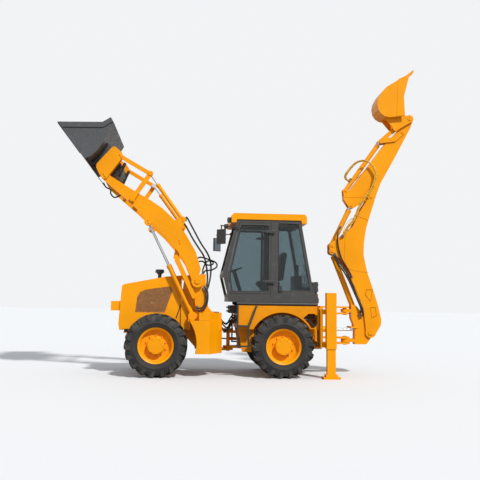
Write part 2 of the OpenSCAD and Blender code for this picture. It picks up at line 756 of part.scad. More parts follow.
module carriage() {
    x0 = beam_x - beam_d - slide_gap;
    color("orange") {
        difference() {
            union() {
                translate([x0 - 50, -330, beam_low - 30]) cube([50, 660, beam_high + beam_h - beam_low + 60]);
                for (z = [beam_low - 30 - slide_gap, beam_high + beam_h + slide_gap])
                    translate([x0 - 10, -330, z]) cube([105, 660, 30]);
                for (z = [590, 700, 1180, 1305]) translate([0, 0, z]) linear_extrude(35) union() {
                    polygon([[x0 - 30, -160], [x0 - 30, 160], [swing_x, 95], [swing_x, -95]]);
                    translate([swing_x, 0]) circle(r = 95);
                }
                for (z = [590, 1180]) translate([swing_x, 0, z - 12]) cylinder(r = 40, h = 172);
            }
            for (y = [-swing_cyl_y, swing_cyl_y]) translate([x0 - 60, y, swing_cyl_z]) rotate([0, 90, 0])
                cylinder(r = 50, h = 80);
        }
        for (y = [-swing_cyl_y, swing_cyl_y]) translate([x0 + 30, y, swing_cyl_z]) rotate([0, -90, 0]) difference() {
            cylinder(r = 50, h = 260);
            translate([0, 0, 20]) cylinder(r = 24 + pin_gap, h = 260);
        }
    }
}

module swing_rod(y) {
    color("silver") {
        translate([swing_x - swing_eye, y, swing_cyl_z]) cylinder(r = 34, h = 44, center = true);
        translate([swing_x - swing_eye, y, swing_cyl_z]) rotate([0, 90, 0]) cylinder(r = 24, h = 480);
    }
}

module kingpost() {
    color("orange") difference() {
        union() {
            plate(0, 2 * king_y) union() {
                polygon([[-2672, 1395], [-2781, 1350], [-2867, 1254], [-2999, 1026], [-3050, 940], [-3150, 800],
                         [-3071, 717], [-2983, 591], [-2740, 589], [-2745, 858], [-2717, 999], [-2672, 1110]]);
                translate(boom_foot) circle(r = 88);
                translate(boom_cyl_base) circle(r = 70);
            }
            for (z = [632, 1222]) translate([0, 0, z]) linear_extrude(66) union() {
                polygon([[swing_x, -80], [swing_x, 80], [-2780, 88], [-2780, -88]]);
                translate([swing_x, 0]) circle(r = 80);
            }
            // Lugs that the swing rods push
            translate([0, 0, swing_cyl_z + 32]) linear_extrude(30) union() {
                polygon([[swing_x - swing_eye + 20, -swing_cyl_y - 34], [swing_x - swing_eye + 20, swing_cyl_y + 34],
                         [-2820, 88], [-2820, -88]]);
                for (y = [-swing_cyl_y, swing_cyl_y]) translate([swing_x - swing_eye, y]) circle(r = 40);
            }
            cross_shaft(boom_foot, 0, 2 * boom_out + 12, 38);
        }
        for (z = [620, 1210]) translate([swing_x, 0, z]) cylinder(r = 40 + pin_gap, h = 90);
        // Room for the boom cylinder between the two cheeks
        plate(0, 132) polygon([[-2684, 1290], [-2600, 1290], [-2600, 1450], [-3300, 1450], [-3300, 800], [-3063, 862],
                               [-2860, 926], [-2800, 930], [-2800, 985]]);
    }
    color("orange") cross_shaft(boom_cyl_base, 0, 2 * king_y, 28);
}

boom_front = [[471, -152], [998, -400], [1300, -500], [1570, -548], [1800, -524], [2100, -400],
              [boom_len - 335, -235], [boom_len - 80, -85]];
boom_back = [[boom_len - 80, 70], [2276, -60], [2095, -110], [1820, -150], [1549, -159], [1201, -79], [915, 22], [560, 140],
             [260, 215], [150, 205], [-20, 105]];

module boom() {
    color("orange") aim(boom_foot, 0, boom_rest) {
        pair() difference() {
            plate(boom_in + boom_t / 2, boom_t) union() {
                polygon(concat([[40, -98]], boom_front, boom_back));
                circle(r = 106);
                translate([boom_len, 0]) circle(r = nose_r);
                // Hump that holds the boom and dipper cylinders
                polygon([[1250, -480], [1470, -640], [1560, -850], [1740, -866], [1800, -800], [1900, -640], [2120, -390]]);
                translate(hump) circle(r = 62);
                translate(hump_top) circle(r = 62);
            }
            cross_shaft([0, 0], boom_in + boom_t / 2, boom_t + 2, 38 + pin_gap);
        }
        // Closed box between the side plates, clear of the pins
        plate(0, 2 * boom_in) polygon([[520, -150], [998, -360], [1300, -460], [1570, -505], [1800, -480], [2080, -370],
                                       [2300, -260], [2400, -140], [2276, -90], [2095, -130], [1820, -170], [1549, -180],
                                       [1201, -100], [915, 0], [560, 110], [440, 120]]);
        cross_shaft([boom_len, 0], 0, 2 * boom_out, 36);
        pair() cross_shaft(hump, (boom_out + 50) / 2, boom_out - 50, 26);
        cross_shaft(hump_top, 0, 2 * boom_out, 26);
    }
}

boom_cyl_ang = angle2(boom_cyl_base, hump_w);
boom_cyl_len = dist2(boom_cyl_base, hump_w);
module boom_barrel() {
    color("orange") aim(boom_cyl_base, 0, boom_cyl_ang) barrel(boom_cyl_len - 105, 56, 30, 48, 110, 28);
}
module boom_rod() {
    color("silver") aim(hump_w, 0, boom_cyl_ang) rod(boom_cyl_len - 80, 30, 44, 80);
}

dipper_cyl_ang = angle2(hump_top_w, dip_pt(dipper_tail));
dipper_cyl_len = dist2(hump_top_w, dip_pt(dipper_tail));
module dipper_barrel() {
    color("orange") aim(hump_top_w, 0, dipper_cyl_ang) barrel(dipper_cyl_len - 90, 52, 26, 46, 100, 26);
}
module dipper_rod() {
    color("silver") aim(dip_pt(dipper_tail), 0, dipper_cyl_ang) rod(dipper_cyl_len - 75, 26, 42, 60);
}

module dipper() {
    color("orange") translate([boom_tip[0], 0, boom_tip[1]]) rotate([0, -dipper_rest, 0]) {
        difference() {
            union() {
                plate(0, 2 * dipper_y) union() {
                    polygon([[-20, 96], [337, 60], [997, 91], [dipper_len - 152, 108], [dipper_len, nose_r],
                             [dipper_len + 48, -60], [dipper_len - 328, -95], [1100, -225], [60, -415], [-90, -440],
                             [-200, -545], [-330, -470], [-430, -300], [-400, -215], [-120, -40]]);
                    circle(r = 96);
                    translate(hoe_pin) circle(r = nose_r);
                    translate(hoe_cyl_base) circle(r = 56);
                    translate(dipper_tail) circle(r = 60);
                }
                cross_shaft(hoe_lever_foot, 0, 2 * (lever_in + hoe_lever_t), 30);
            }
            cross_shaft([0, 0], 0, 2 * dipper_y + 2, 36 + pin_gap);
            cross_shaft(hoe_pin, 0, 2 * dipper_y + 2, 34 + pin_gap);
            // Slots for the eyes of the two cylinders
            translate([dipper_tail[0] - 190, -45, dipper_tail[1] - 110]) cube([345, 90, 255]);
            translate([hoe_cyl_base[0] - 120, -58, hoe_cyl_base[1] - 90]) cube([280, 116, 170]);
        }
        cross_shaft(hoe_cyl_base, 0, 2 * dipper_y, 24);
    }
}

hoe_cyl_ang = angle2(dip_pt(hoe_cyl_base), dip_pt(hoe_joint));
hoe_cyl_len = dist2(dip_pt(hoe_cyl_base), dip_pt(hoe_joint));
module hoe_barrel() {
    color("orange") aim(dip_pt(hoe_cyl_base), 0, hoe_cyl_ang) barrel(hoe_cyl_len - 90, 48, 22, 42, 80, 24);
}
module hoe_rod() {
    color("silver") aim(dip_pt(hoe_joint), 0, hoe_cyl_ang) rod(hoe_cyl_len - 70, 22, 40, 50);
}

module hoe_lever() {
    y = lever_in + hoe_lever_t / 2;
    foot = dip_pt(hoe_lever_foot);
    joint = dip_pt(hoe_joint);
    bend = dip_pt([dipper_len - 542, -90]);
    color("orange") pair() {
        difference() {
            plate(y, hoe_lever_t) union() {
                bar2(foot, bend, 96);
                bar2(bend, joint, 96);
            }
            cross_shaft(foot, y, hoe_lever_t + 2, 30 + pin_gap);
        }
        cross_shaft(joint, (32 + lever_in) / 2 + 2, lever_in - 32, 26);
    }
}

module hoe_link() {
    joint = dip_pt(hoe_joint);
    tip = dip_pt(hoe_link_pin);
    color("orange") pair() difference() {
        plate(60, 46) bar2(joint, tip, 88);
        cross_shaft(joint, 60, 60, 26 + pin_gap);
    }
}

// Digging bucket, drawn about its pin as it stands in the travel pose
module hoe_bucket() {
    back = [[-40, 990], [93, 880], [275, 795], [515, 642], [628, 505], [696, 370], [715, 258], [695, 148], [642, 65],
            [560, 10], [455, -8], [312, 10]];
    skin = concat(back, [[318, 38], [452, 20], [546, 36], [620, 84], [667, 160], [687, 258], [669, 360], [604, 490],
                         [498, 620], [262, 770], [80, 854], [-52, 966]]);
    side = concat(back, [[130, 30], [146, 447], [35, 865]]);
    link_at = rot2(hoe_link_pin - hoe_pin, dipper_rest);
    color("darkorange") translate([hoe_w_pt[0], 0, hoe_w_pt[1]]) {
        plate(0, hoe_w) polygon(skin);
        pair() {
            plate(hoe_w / 2 - 9, 18) polygon(side);
            plate(ear_in + hoe_ear_t / 2, hoe_ear_t) union() {
                circle(r = 78);
                translate(link_at) circle(r = 58);
                polygon([[-60, -50], link_at + [-50, -30], link_at + [20, -56], link_at + [60, 10], [520, -20], [500, 15],
                         [300, 30], [60, 60]]);
            }
            cross_shaft(link_at, (88 + ear_in + 10) / 2, ear_in + 10 - 88, 26);
        }
        cross_shaft([0, 0], 0, 2 * (ear_in + hoe_ear_t), 34);
        for (i = [-2 : 2]) translate([0, i * (hoe_w - 70) / 4, 0]) plate(0, 44)
            polygon([[236, 836], [100, 902], [-62, 1030], [-84, 1022], [-56, 958], [90, 838], [222, 772]]);
    }
}

// Its pad stands on the ground, or lift above it
module stabiliser(side, lift) {
    color("orange") scale_side(side) translate([0, 0, lift]) {
        translate([leg_x - 80 + slide_gap, leg_y - 50 + slide_gap, pad_h])
            cube([160 - 2 * slide_gap, 100 - 2 * slide_gap, 1120 - pad_h]);
        translate([leg_x - 110, leg_y - 85, pad_h - 45]) cube([220, 170, 45]);
        translate([leg_x - 160, leg_y - 120, 0]) cube([320, 240, pad_h - 45]);
    }
}

// Moves the machine so that its middle stands on the origin
module at_origin() {
    translate([-middle_x, 0, 0]) children();
}

at_origin() rear_frame();
at_origin() rear_axle();
at_origin() steps();
at_origin() cab_frame();
at_origin() cab_roof();
at_origin() cab_glass();
at_origin() seat();
at_origin() controls();
at_origin() cab_fittings();
at_origin() shift_frame();
at_origin() color("black") door_ring();  // door_left
at_origin() color("black") scale_side(-1) door_ring();  // door_right
at_origin() color("lightblue") door_glass();  // door_glass_left
at_origin() color("lightblue") scale_side(-1) door_glass();  // door_glass_right
at_origin() front_frame();
at_origin() engine();
at_origin() front_axle();
at_origin() hood();
at_origin() hood_grilles();
at_origin() hood_fittings();
at_origin() steering_barrel();
at_origin() steering_rod();
at_origin() loader_arms();
at_origin() lift_barrels();
at_origin() lift_rods();
at_origin() tilt_barrels();
at_origin() tilt_rods();
at_origin() tilt_levers();
at_origin() tilt_links();
at_origin() level_rockers();
at_origin() level_links();
at_origin() coupler();
at_origin() loader_bucket();
at_origin() carriage();
at_origin() swing_rod(swing_cyl_y);  // swing_rod_left
at_origin() swing_rod(-swing_cyl_y);  // swing_rod_right
at_origin() kingpost();
at_origin() boom();
at_origin() boom_barrel();
at_origin() boom_rod();
at_origin() dipper();
at_origin() dipper_barrel();
at_origin() dipper_rod();
at_origin() hoe_barrel();
at_origin() hoe_rod();
at_origin() hoe_lever();
at_origin() hoe_link();
at_origin() hoe_bucket();
at_origin() stabiliser(1, 0);  // stabiliser_left
at_origin() stabiliser(-1, right_lift);  // stabiliser_right
at_origin() color("black") wheel_at(wheel_x, 1) tyre();  // tyre_front_left
at_origin() color("black") wheel_at(wheel_x, -1) tyre();  // tyre_front_right
at_origin() color("black") wheel_at(-wheel_x, 1) tyre();  // tyre_rear_left
at_origin() color("black") wheel_at(-wheel_x, -1) tyre();  // tyre_rear_right
at_origin() color("gold") wheel_at(wheel_x, 1) rim();  // rim_front_left
at_origin() color("gold") wheel_at(wheel_x, -1) rim();  // rim_front_right
at_origin() color("gold") wheel_at(-wheel_x, 1) rim();  // rim_rear_left
at_origin() color("gold") wheel_at(-wheel_x, -1) rim();  // rim_rear_right
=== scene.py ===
# %% [markdown]
# A compact backhoe loader, dressed for its picture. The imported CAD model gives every
# solid and every joint. This script adds what a painter and a fitter would add: paint,
# rubber, glass, bolts, hoses and welds. It never moves a CAD piece.

# %% The frame
import math
import bpy
import bmesh
from mathutils import Matrix, Vector


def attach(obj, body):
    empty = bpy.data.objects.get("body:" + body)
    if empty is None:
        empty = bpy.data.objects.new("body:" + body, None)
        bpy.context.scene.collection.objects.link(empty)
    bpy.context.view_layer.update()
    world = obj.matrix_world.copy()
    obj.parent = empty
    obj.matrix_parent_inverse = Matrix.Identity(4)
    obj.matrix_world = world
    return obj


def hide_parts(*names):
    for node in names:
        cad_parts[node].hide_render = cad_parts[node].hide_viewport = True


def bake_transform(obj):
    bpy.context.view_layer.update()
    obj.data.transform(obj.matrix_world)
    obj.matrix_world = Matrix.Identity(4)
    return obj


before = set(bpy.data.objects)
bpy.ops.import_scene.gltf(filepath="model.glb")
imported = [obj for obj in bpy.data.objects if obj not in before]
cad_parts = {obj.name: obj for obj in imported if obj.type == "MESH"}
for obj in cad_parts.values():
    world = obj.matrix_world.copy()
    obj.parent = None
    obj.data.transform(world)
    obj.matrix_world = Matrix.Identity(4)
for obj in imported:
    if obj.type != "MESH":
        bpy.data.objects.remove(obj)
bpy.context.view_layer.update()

# %% [markdown]
# The CAD source measures from the middle of the wheelbase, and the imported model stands
# with the middle of its whole length on the origin. One small function turns a place in
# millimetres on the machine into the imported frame, so sizes can be read off a drawing.

# %% Places on the machine
MIDDLE_X = -440.16


def at(x, y, z):
    """A place on the machine, in millimetres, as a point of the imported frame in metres."""
    return Vector(((x - MIDDLE_X) / 1000, y / 1000, z / 1000))


def turned(point, degrees):
    """A side-view point (x, z) turned about the origin."""
    c = math.cos(math.radians(degrees))
    s = math.sin(math.radians(degrees))
    return (point[0] * c - point[1] * s, point[0] * s + point[1] * c)


ARM_PIVOT = (440, 1780)
ARM_ANGLE = 47.5
BUCKET_ANGLE = 52.5
BOOM_FOOT = (-3063, 827)
BOOM_ANGLE = 90.95
BOOM_LENGTH = 2780
DIPPER_ANGLE = 116.6
# half widths of the welded parts, from the centreline to their outer faces
ARM_FACE = 720
BOOM_FACE = 125
DIPPER_FACE = 85


def placed_from(origin, angle, x, z):
    """A place in a part's own side view, whose origin and angle are given, on the machine."""
    p = turned((x, z), angle)
    return (origin[0] + p[0], origin[1] + p[1])


def on_arm(x, z):
    return placed_from(ARM_PIVOT, ARM_ANGLE, x, z)


def on_boom(x, z):
    return placed_from(BOOM_FOOT, BOOM_ANGLE, x, z)


BOOM_TIP = on_boom(BOOM_LENGTH, 0)


def on_dipper(x, z):
    return placed_from(BOOM_TIP, DIPPER_ANGLE, x, z)


COUPLER_PIN = on_arm(2700, 0)
HOE_PIN = on_dipper(1852, 0)


def on_bucket(x, z):
    return placed_from(COUPLER_PIN, BUCKET_ANGLE, x, z)


print("coupler pin", COUPLER_PIN, "digging bucket pin", HOE_PIN)

# %% [markdown]
# The photograph was taken with a long lens from the machine's left, a little towards the
# front, from standing height. The camera is placed where its lines of sight meet the
# wheels, pins and corners of the model, and a small shift stands for the picture's crop.

# %% The camera
CAMERA_PLACE = at(622, 13588, 1424)
YAW = math.radians(4.32)
PITCH = math.radians(7.38)
ROLL = math.radians(0.81)
FOCAL_PX = 673.0
FRAME_PX = 480.0
SIGHT_ROW_PX = 213.5
SENSOR_MM = 36

sight = Vector((-math.sin(YAW) * math.cos(PITCH), -math.cos(YAW) * math.cos(PITCH), math.sin(PITCH)))
level_right = Vector((-math.cos(YAW), math.sin(YAW), 0))
level_up = level_right.cross(sight)
right = level_right * math.cos(ROLL) + level_up * math.sin(ROLL)
up = level_up * math.cos(ROLL) - level_right * math.sin(ROLL)
camera_data = bpy.data.cameras.new("camera")
camera_data.sensor_width = SENSOR_MM
camera_data.lens = FOCAL_PX / FRAME_PX * SENSOR_MM
camera_data.shift_y = (SIGHT_ROW_PX - FRAME_PX / 2) / FRAME_PX
camera_data.clip_end = 200
camera = bpy.data.objects.new("camera", camera_data)
turn = Matrix((right, up, -sight)).transposed().to_4x4()
camera.matrix_world = Matrix.Translation(CAMERA_PLACE) @ turn
bpy.context.scene.collection.objects.link(camera)
bpy.context.scene.camera = camera
print("lens", round(camera_data.lens, 2), "shift", round(camera_data.shift_y, 4))

# %% [markdown]
# Daylight is a soft lamp high on the rear left and an even pale world. The world
# shows white to the camera, to gloss and through glass, and lights the machine at a
# plain level, so a colour renders about as it is written.

# %% Light
SUN_DIRECTION = (0.34, -0.62, -0.72)
SUN_STRENGTH = 3.3
SKY_LIGHT = ((0.86, 0.92, 1.0, 1), 0.62)
SKY_SEEN = ((0.93, 0.945, 0.96, 1), 0.95)
SEEN_BY = ("Is Camera Ray", "Is Glossy Ray", "Is Transmission Ray")
scene = bpy.context.scene
scene.view_settings.view_transform = "Standard"
sun_data = bpy.data.lights.new("day_lamp", "SUN")
sun_data.energy = SUN_STRENGTH
sun_data.angle = math.radians(4)
sun = bpy.data.objects.new("day_lamp", sun_data)
sun.rotation_euler = Vector(SUN_DIRECTION).to_track_quat("-Z", "Y").to_euler()
scene.collection.objects.link(sun)

world = bpy.data.worlds.new("pale_world")
world.use_nodes = True
scene.world = world
wt = world.node_tree
wt.nodes.clear()
w_out = wt.nodes.new("ShaderNodeOutputWorld")
w_mix = wt.nodes.new("ShaderNodeMixShader")
w_path = wt.nodes.new("ShaderNodeLightPath")
seen = w_path.outputs[SEEN_BY[0]]
for ray in SEEN_BY[1:]:
    either = wt.nodes.new("ShaderNodeMath")
    either.operation = "MAXIMUM"
    wt.links.new(seen, either.inputs[0])
    wt.links.new(w_path.outputs[ray], either.inputs[1])
    seen = either.outputs[0]
wt.links.new(seen, w_mix.inputs["Fac"])
for k, (colour, strength) in enumerate((SKY_LIGHT, SKY_SEEN)):
    sky = wt.nodes.new("ShaderNodeBackground")
    sky.inputs["Color"].default_value = colour
    sky.inputs["Strength"].default_value = strength
    wt.links.new(sky.outputs[0], w_mix.inputs[k + 1])
wt.links.new(w_mix.outputs[0], w_out.inputs["Surface"])

# %% [markdown]
# Every finish is a Principled surface whose colour, roughness and bump come from noise on
# Object coordinates. One helper adds a node with its values, others mix two colours by a
# noise or let a noise drive the roughness. What is the same all over a piece stays a
# plain number on the shader.

# %% Finish helpers


def node(tree, kind, **values):
    n = tree.nodes.new(kind)
    for key, value in values.items():
        name = key.replace("_", " ")
        if name in n.inputs:
            n.inputs[name].default_value = value
        else:
            setattr(n, key, value)
    return n


def surface(name, colour, roughness, **sockets):
    mat = bpy.data.materials.new(name)
    mat.use_nodes = True
    tree = mat.node_tree
    shader = tree.nodes["Principled BSDF"]
    shader.inputs["Base Color"].default_value = (*colour, 1)
    shader.inputs["Roughness"].default_value = roughness
    for key, value in sockets.items():
        shader.inputs[key.replace("_", " ")].default_value = value
    return mat, tree, shader


def local(tree, stretch=(1, 1, 1), shift=(0, 0, 0)):
    """The piece's own coordinates in metres, moved by shift and scaled by stretch."""
    coord = node(tree, "ShaderNodeTexCoord")
    place = node(tree, "ShaderNodeMapping")
    place.inputs["Location"].default_value = shift
    place.inputs["Scale"].default_value = stretch
    tree.links.new(coord.outputs["Object"], place.inputs["Vector"])
    return place.outputs["Vector"]


def grain(tree, scale, detail=4, stretch=(1, 1, 1)):
    """Noise on the piece's own coordinates, in cycles a metre."""
    noise = node(tree, "ShaderNodeTexNoise", Scale=scale, Detail=detail, Roughness=0.6)
    tree.links.new(local(tree, stretch), noise.inputs["Vector"])
    return noise.outputs["Fac"]


def maths(tree, operation, *values):
    """A math node on numbers and sockets."""
    n = node(tree, "ShaderNodeMath", operation=operation)
    for socket, value in zip(n.inputs, values):
        if isinstance(value, float):
            socket.default_value = value
        else:
            tree.links.new(value, socket)
    return n.outputs[0]


def between(tree, value, low, high, to_low=0.0, to_high=1.0):
    """The value stretched from low..high to to_low..to_high, and held there."""
    ramp = node(tree, "ShaderNodeMapRange")
    ramp.inputs["From Min"].default_value = low
    ramp.inputs["From Max"].default_value = high
    ramp.inputs["To Min"].default_value = to_low
    ramp.inputs["To Max"].default_value = to_high
    tree.links.new(value, ramp.inputs["Value"])
    return ramp.outputs["Result"]


def blended(tree, amount, first, second):
    """Two colours, or a colour socket and a colour, mixed by amount."""
    mix = node(tree, "ShaderNodeMix", data_type="RGBA")
    for socket, colour in ((mix.inputs[6], first), (mix.inputs[7], second)):
        if isinstance(colour, tuple):
            socket.default_value = (*colour, 1)
        else:
            tree.links.new(colour, socket)
    tree.links.new(amount, mix.inputs[0])
    return mix.outputs[2]


def coloured(tree, shader, amount, first, second):
    tree.links.new(blended(tree, amount, first, second), shader.inputs["Base Color"])


def uneven(tree, shader, scale, detail, low, high, smooth, rough):
    """Roughness that goes from smooth to rough as a noise goes from low to high."""
    noise = grain(tree, scale, detail)
    tree.links.new(between(tree, noise, low, high, smooth, rough), shader.inputs["Roughness"])


def bumped(tree, shader, height, strength, distance):
    bump = node(tree, "ShaderNodeBump", Strength=strength, Distance=distance)
    tree.links.new(height, bump.inputs["Height"])
    tree.links.new(bump.outputs["Normal"], shader.inputs["Normal"])


# %% [markdown]
# The machine is freshly sprayed in a warm yellow-orange. Real sheet steel never shines
# evenly, so the paint has slow changes of tone, a thin film of dry dust that dulls its
# gloss in patches, and a very fine grain in its bump.

# %% Paint


def machine_paint(name, colour, dust, dust_amount=0.18, gloss=0.30):
    mat, tree, shader = surface(name, colour, gloss, Coat_Weight=0.05, Coat_Roughness=0.14,
                                Specular_IOR_Level=0.15)
    tone = between(tree, grain(tree, 1.7, 3), 0.35, 0.7)
    deep = tuple(c * 0.88 for c in colour)
    body = blended(tree, tone, deep, colour)
    film = between(tree, grain(tree, 9.0, 6), 0.52, 0.80, 0.0, dust_amount)
    coloured(tree, shader, film, body, dust)
    uneven(tree, shader, 14.0, 5, 0.3, 0.75, gloss - 0.06, gloss + 0.22)
    bumped(tree, shader, grain(tree, 160.0, 2), 0.05, 0.001)
    return mat


YELLOW = (0.94, 0.345, 0.0008)
paint = machine_paint("yellow_paint", YELLOW, (0.66, 0.36, 0.05))
wheel_paint = machine_paint("wheel_paint", (0.93, 0.34, 0.001), (0.45, 0.24, 0.05), 0.25, 0.34)
# A darker copy of the yellow for the rear frame, the axles and the inner guards: painted shade for parts
# that lie under the cab and body.
frame_painted_shade = machine_paint("frame_painted_shade", (0.86, 0.30, 0.001), (0.26, 0.14, 0.04), 0.35, 0.40)
# A darker copy of the yellow for beads and thin outlines: painted shadow along seams and plate edges.
painted_seam_shadow = machine_paint("painted_seam_shadow", (0.50, 0.17, 0.001), (0.30, 0.14, 0.02), 0.3, 0.5)
cab_paint = machine_paint("cab_grey_paint", (0.074, 0.070, 0.066), (0.15, 0.14, 0.12), 0.3, 0.42)
print("paints made")

# %% [markdown]
# Bare and dark metals: the loader bucket is dark steel with long scratches along its
# floor, rods are hard chrome, and the engine is cast iron. Scratches are a noise that is
# stretched a lot along one axis.

# %% Metals


def scraped_steel(name, colour, worn, stretch):
    mat, tree, shader = surface(name, colour, 0.5, Metallic=0.35)
    scratch = between(tree, grain(tree, 26.0, 6, stretch), 0.52, 0.80, 0.0, 0.7)
    stain = between(tree, grain(tree, 1.6, 4), 0.40, 0.75, 0.0, 0.45)
    base = blended(tree, stain, colour, tuple(c * 0.62 for c in colour))
    coloured(tree, shader, scratch, base, worn)
    uneven(tree, shader, 12.0, 4, 0.3, 0.7, 0.36, 0.56)
    bumped(tree, shader, grain(tree, 30.0, 5, stretch), 0.10, 0.0015)
    return mat


bucket_steel = scraped_steel("bucket_steel", (0.078, 0.082, 0.086), (0.135, 0.135, 0.13), (1, 0.06, 1))
dark_iron = scraped_steel("dark_iron", (0.030, 0.029, 0.028), (0.085, 0.065, 0.045), (1, 1, 0.3))
bolt_steel = scraped_steel("bolt_steel", (0.16, 0.15, 0.13), (0.30, 0.26, 0.20), (1, 1, 1))

chrome, c_tree, c_shader = surface("rod_chrome", (0.70, 0.73, 0.76), 0.16, Metallic=1.0)
uneven(c_tree, c_shader, 60.0, 3, 0.3, 0.7, 0.09, 0.24)
bumped(c_tree, c_shader, grain(c_tree, 40.0, 2), 0.02, 0.0003)

mirror_glass, g_tree, g_shader = surface("mirror_glass", (0.15, 0.17, 0.19), 0.05, Metallic=1.0)
uneven(g_tree, g_shader, 30.0, 2, 0.3, 0.7, 0.03, 0.09)

# %% [markdown]
# The hood's side windows are covered with rust-brown perforated sheet. The rust is a
# blotchy mix of browns, with a few pale spots where paint still holds.

# %% The grille sheet
grille_brown, r_tree, r_shader = surface("grille_brown", (0.33, 0.13, 0.025), 0.7)
blotches = between(r_tree, grain(r_tree, 22.0, 6), 0.35, 0.7)
rust = blended(r_tree, blotches, (0.24, 0.095, 0.022), (0.38, 0.155, 0.035))
spots = between(r_tree, grain(r_tree, 9.0, 4), 0.66, 0.72)
coloured(r_tree, r_shader, spots, rust, (0.55, 0.40, 0.20))
bumped(r_tree, r_shader, grain(r_tree, 120.0, 4), 0.25, 0.002)

# %% [markdown]
# Rubber: tyres are nearly black with dry dust in the tread and on the bulge of the
# sidewall, and fine rings turned round the axle. The rings need the distance from the
# wheel's middle, so each tyre gets a Mapping node set to its own axle.

# %% Tyre rubber
AXLE_Z = 582.5
WHEELS = [("front_left", 1185, 785), ("front_right", 1185, -785),
          ("rear_left", -1185, 785), ("rear_right", -1185, -785)]


def tyre_rubber(name, centre):
    mat, tree, shader = surface(name, (0.028, 0.027, 0.026), 0.72, Specular_IOR_Level=0.35)
    radius = node(tree, "ShaderNodeVectorMath", operation="LENGTH")
    tree.links.new(local(tree, (1, 0, 1), (-centre[0], 0, -centre[2])), radius.inputs[0])
    r = radius.outputs["Value"]
    rings = maths(tree, "SINE", maths(tree, "MULTIPLY", r, 420.0))
    wall = maths(tree, "MULTIPLY", rings, between(tree, r, 0.37, 0.45, 1.0, 0.0))
    bumped(tree, shader, maths(tree, "ADD", wall, grain(tree, 70.0, 5)), 0.35, 0.003)
    patches = between(tree, grain(tree, 7.0, 6), 0.42, 0.72)
    dry = maths(tree, "MULTIPLY", patches, between(tree, r, 0.40, 0.56, 0.10, 0.75))
    coloured(tree, shader, dry, (0.026, 0.025, 0.025), (0.115, 0.100, 0.080))
    return mat


black_rubber, b_tree, b_shader = surface("black_rubber", (0.018, 0.018, 0.018), 0.5)
dusty = between(b_tree, grain(b_tree, 25.0, 5), 0.45, 0.75, 0.0, 0.5)
coloured(b_tree, b_shader, dusty, (0.014, 0.014, 0.014), (0.05, 0.047, 0.043))
bumped(b_tree, b_shader, grain(b_tree, 220.0, 3), 0.15, 0.001)

black_plastic, k_tree, k_shader = surface("black_plastic", (0.03, 0.03, 0.03), 0.42)
uneven(k_tree, k_shader, 12.0, 5, 0.3, 0.75, 0.34, 0.6)
bumped(k_tree, k_shader, grain(k_tree, 500.0, 2), 0.12, 0.0005)

# %% [markdown]
# The cab's panes are lightly tinted. Clear glass in a thin solid pane bends light twice
# and back, so a Principled surface with full transmission is enough, with a film of dust
# in its roughness. Lamp lenses are the same glass in amber and red.

# %% Glass


def tinted_glass(name, colour, rough=0.02):
    mat, tree, shader = surface(name, colour, rough, Transmission_Weight=1.0, IOR=1.45)
    uneven(tree, shader, 5.0, 6, 0.45, 0.8, rough, rough + 0.10)
    return mat


pane = tinted_glass("cab_pane", (0.31, 0.39, 0.41))
clear_lens = tinted_glass("lamp_lens_clear", (0.92, 0.94, 0.95), 0.08)
amber_lens = tinted_glass("lamp_lens_amber", (0.95, 0.38, 0.03), 0.15)
red_lens = tinted_glass("lamp_lens_red", (0.75, 0.03, 0.02), 0.15)

# %% [markdown]
# Each CAD node now gets its finish. The table goes from finish to nodes, so a whole group
# can be resprayed in one line.

# %% Dress the nodes
DRESS = [
    (paint, ["cab_roof", "hood", "front_frame", "loader_arms", "lift_barrels", "tilt_barrels", "tilt_levers",
             "tilt_links", "level_rockers", "level_links", "coupler", "kingpost", "boom", "boom_barrel",
             "dipper", "dipper_barrel", "hoe_barrel", "hoe_lever", "hoe_link", "hoe_bucket",
             "stabiliser_left", "stabiliser_right", "shift_frame", "carriage", "steering_barrel"]),
    # The rear frame and the axles wear the darker copy of the yellow, painted shade under the body.
    (frame_painted_shade, ["rear_frame", "rear_axle", "front_axle"]),
    (wheel_paint, ["rim_" + place for place, x, y in WHEELS]),
    (cab_paint, ["cab_frame", "door_left", "door_right"]),
    (pane, ["cab_glass", "door_glass_left", "door_glass_right"]),
    (chrome, ["lift_rods", "tilt_rods", "boom_rod", "dipper_rod", "hoe_rod", "swing_rod_left",
              "swing_rod_right", "steering_rod"]),
    (bucket_steel, ["loader_bucket"]),
    (dark_iron, ["engine"]),
    (grille_brown, ["hood_grilles"]),
    (black_plastic, ["steps", "cab_fittings", "controls", "hood_fittings"]),
]


def linked(name, mesh):
    """An object of the mesh, linked to the scene."""
    obj = bpy.data.objects.new(name, mesh)
    scene.collection.objects.link(obj)
    return obj


def give(obj, material):
    obj.data.materials.clear()
    obj.data.materials.append(material)


for material, names in DRESS:
    for name in names:
        give(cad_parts[name], material)
for place, x, y in WHEELS:
    give(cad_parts["tyre_" + place], tyre_rubber("tyre_rubber_" + place, at(x, y, AXLE_Z)))
dressed = sum(len(names) for material, names in DRESS) + len(WHEELS)
print(dressed, "nodes dressed of", len(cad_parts), "and the seat is replaced by cushions below")

# %% [markdown]
# A plain pale floor that runs far back, so no edge of it shows behind the machine. It is
# pale to the camera, and darker to the light that it throws back up under the machine, so
# the underside stays in shade.

# %% The floor
floor_mesh = bpy.data.meshes.new("floor")
floor_mesh.from_pydata([(-60, -90, 0), (60, -90, 0), (60, 40, 0), (-60, 40, 0)], [], [(0, 1, 2, 3)])
floor = linked("floor", floor_mesh)
FLOOR_SEEN = (0.70, 0.70, 0.69)
FLOOR_LIT = (0.30, 0.28, 0.25)
floor_mat, f_tree, f_shader = surface("pale_floor", FLOOR_SEEN, 0.85)
f_path = node(f_tree, "ShaderNodeLightPath")
coloured(f_tree, f_shader, f_path.outputs["Is Camera Ray"], FLOOR_LIT, FLOOR_SEEN)
give(floor, floor_mat)

# %% [markdown]
# From here on pieces are added. Three helpers cover most of them: a plate cut from an
# outline with softened edges, a tube swept along a path, and a turned part. Each leaves
# its object at the origin with its place in the mesh, and ties it to a CAD body.

# %% Making pieces


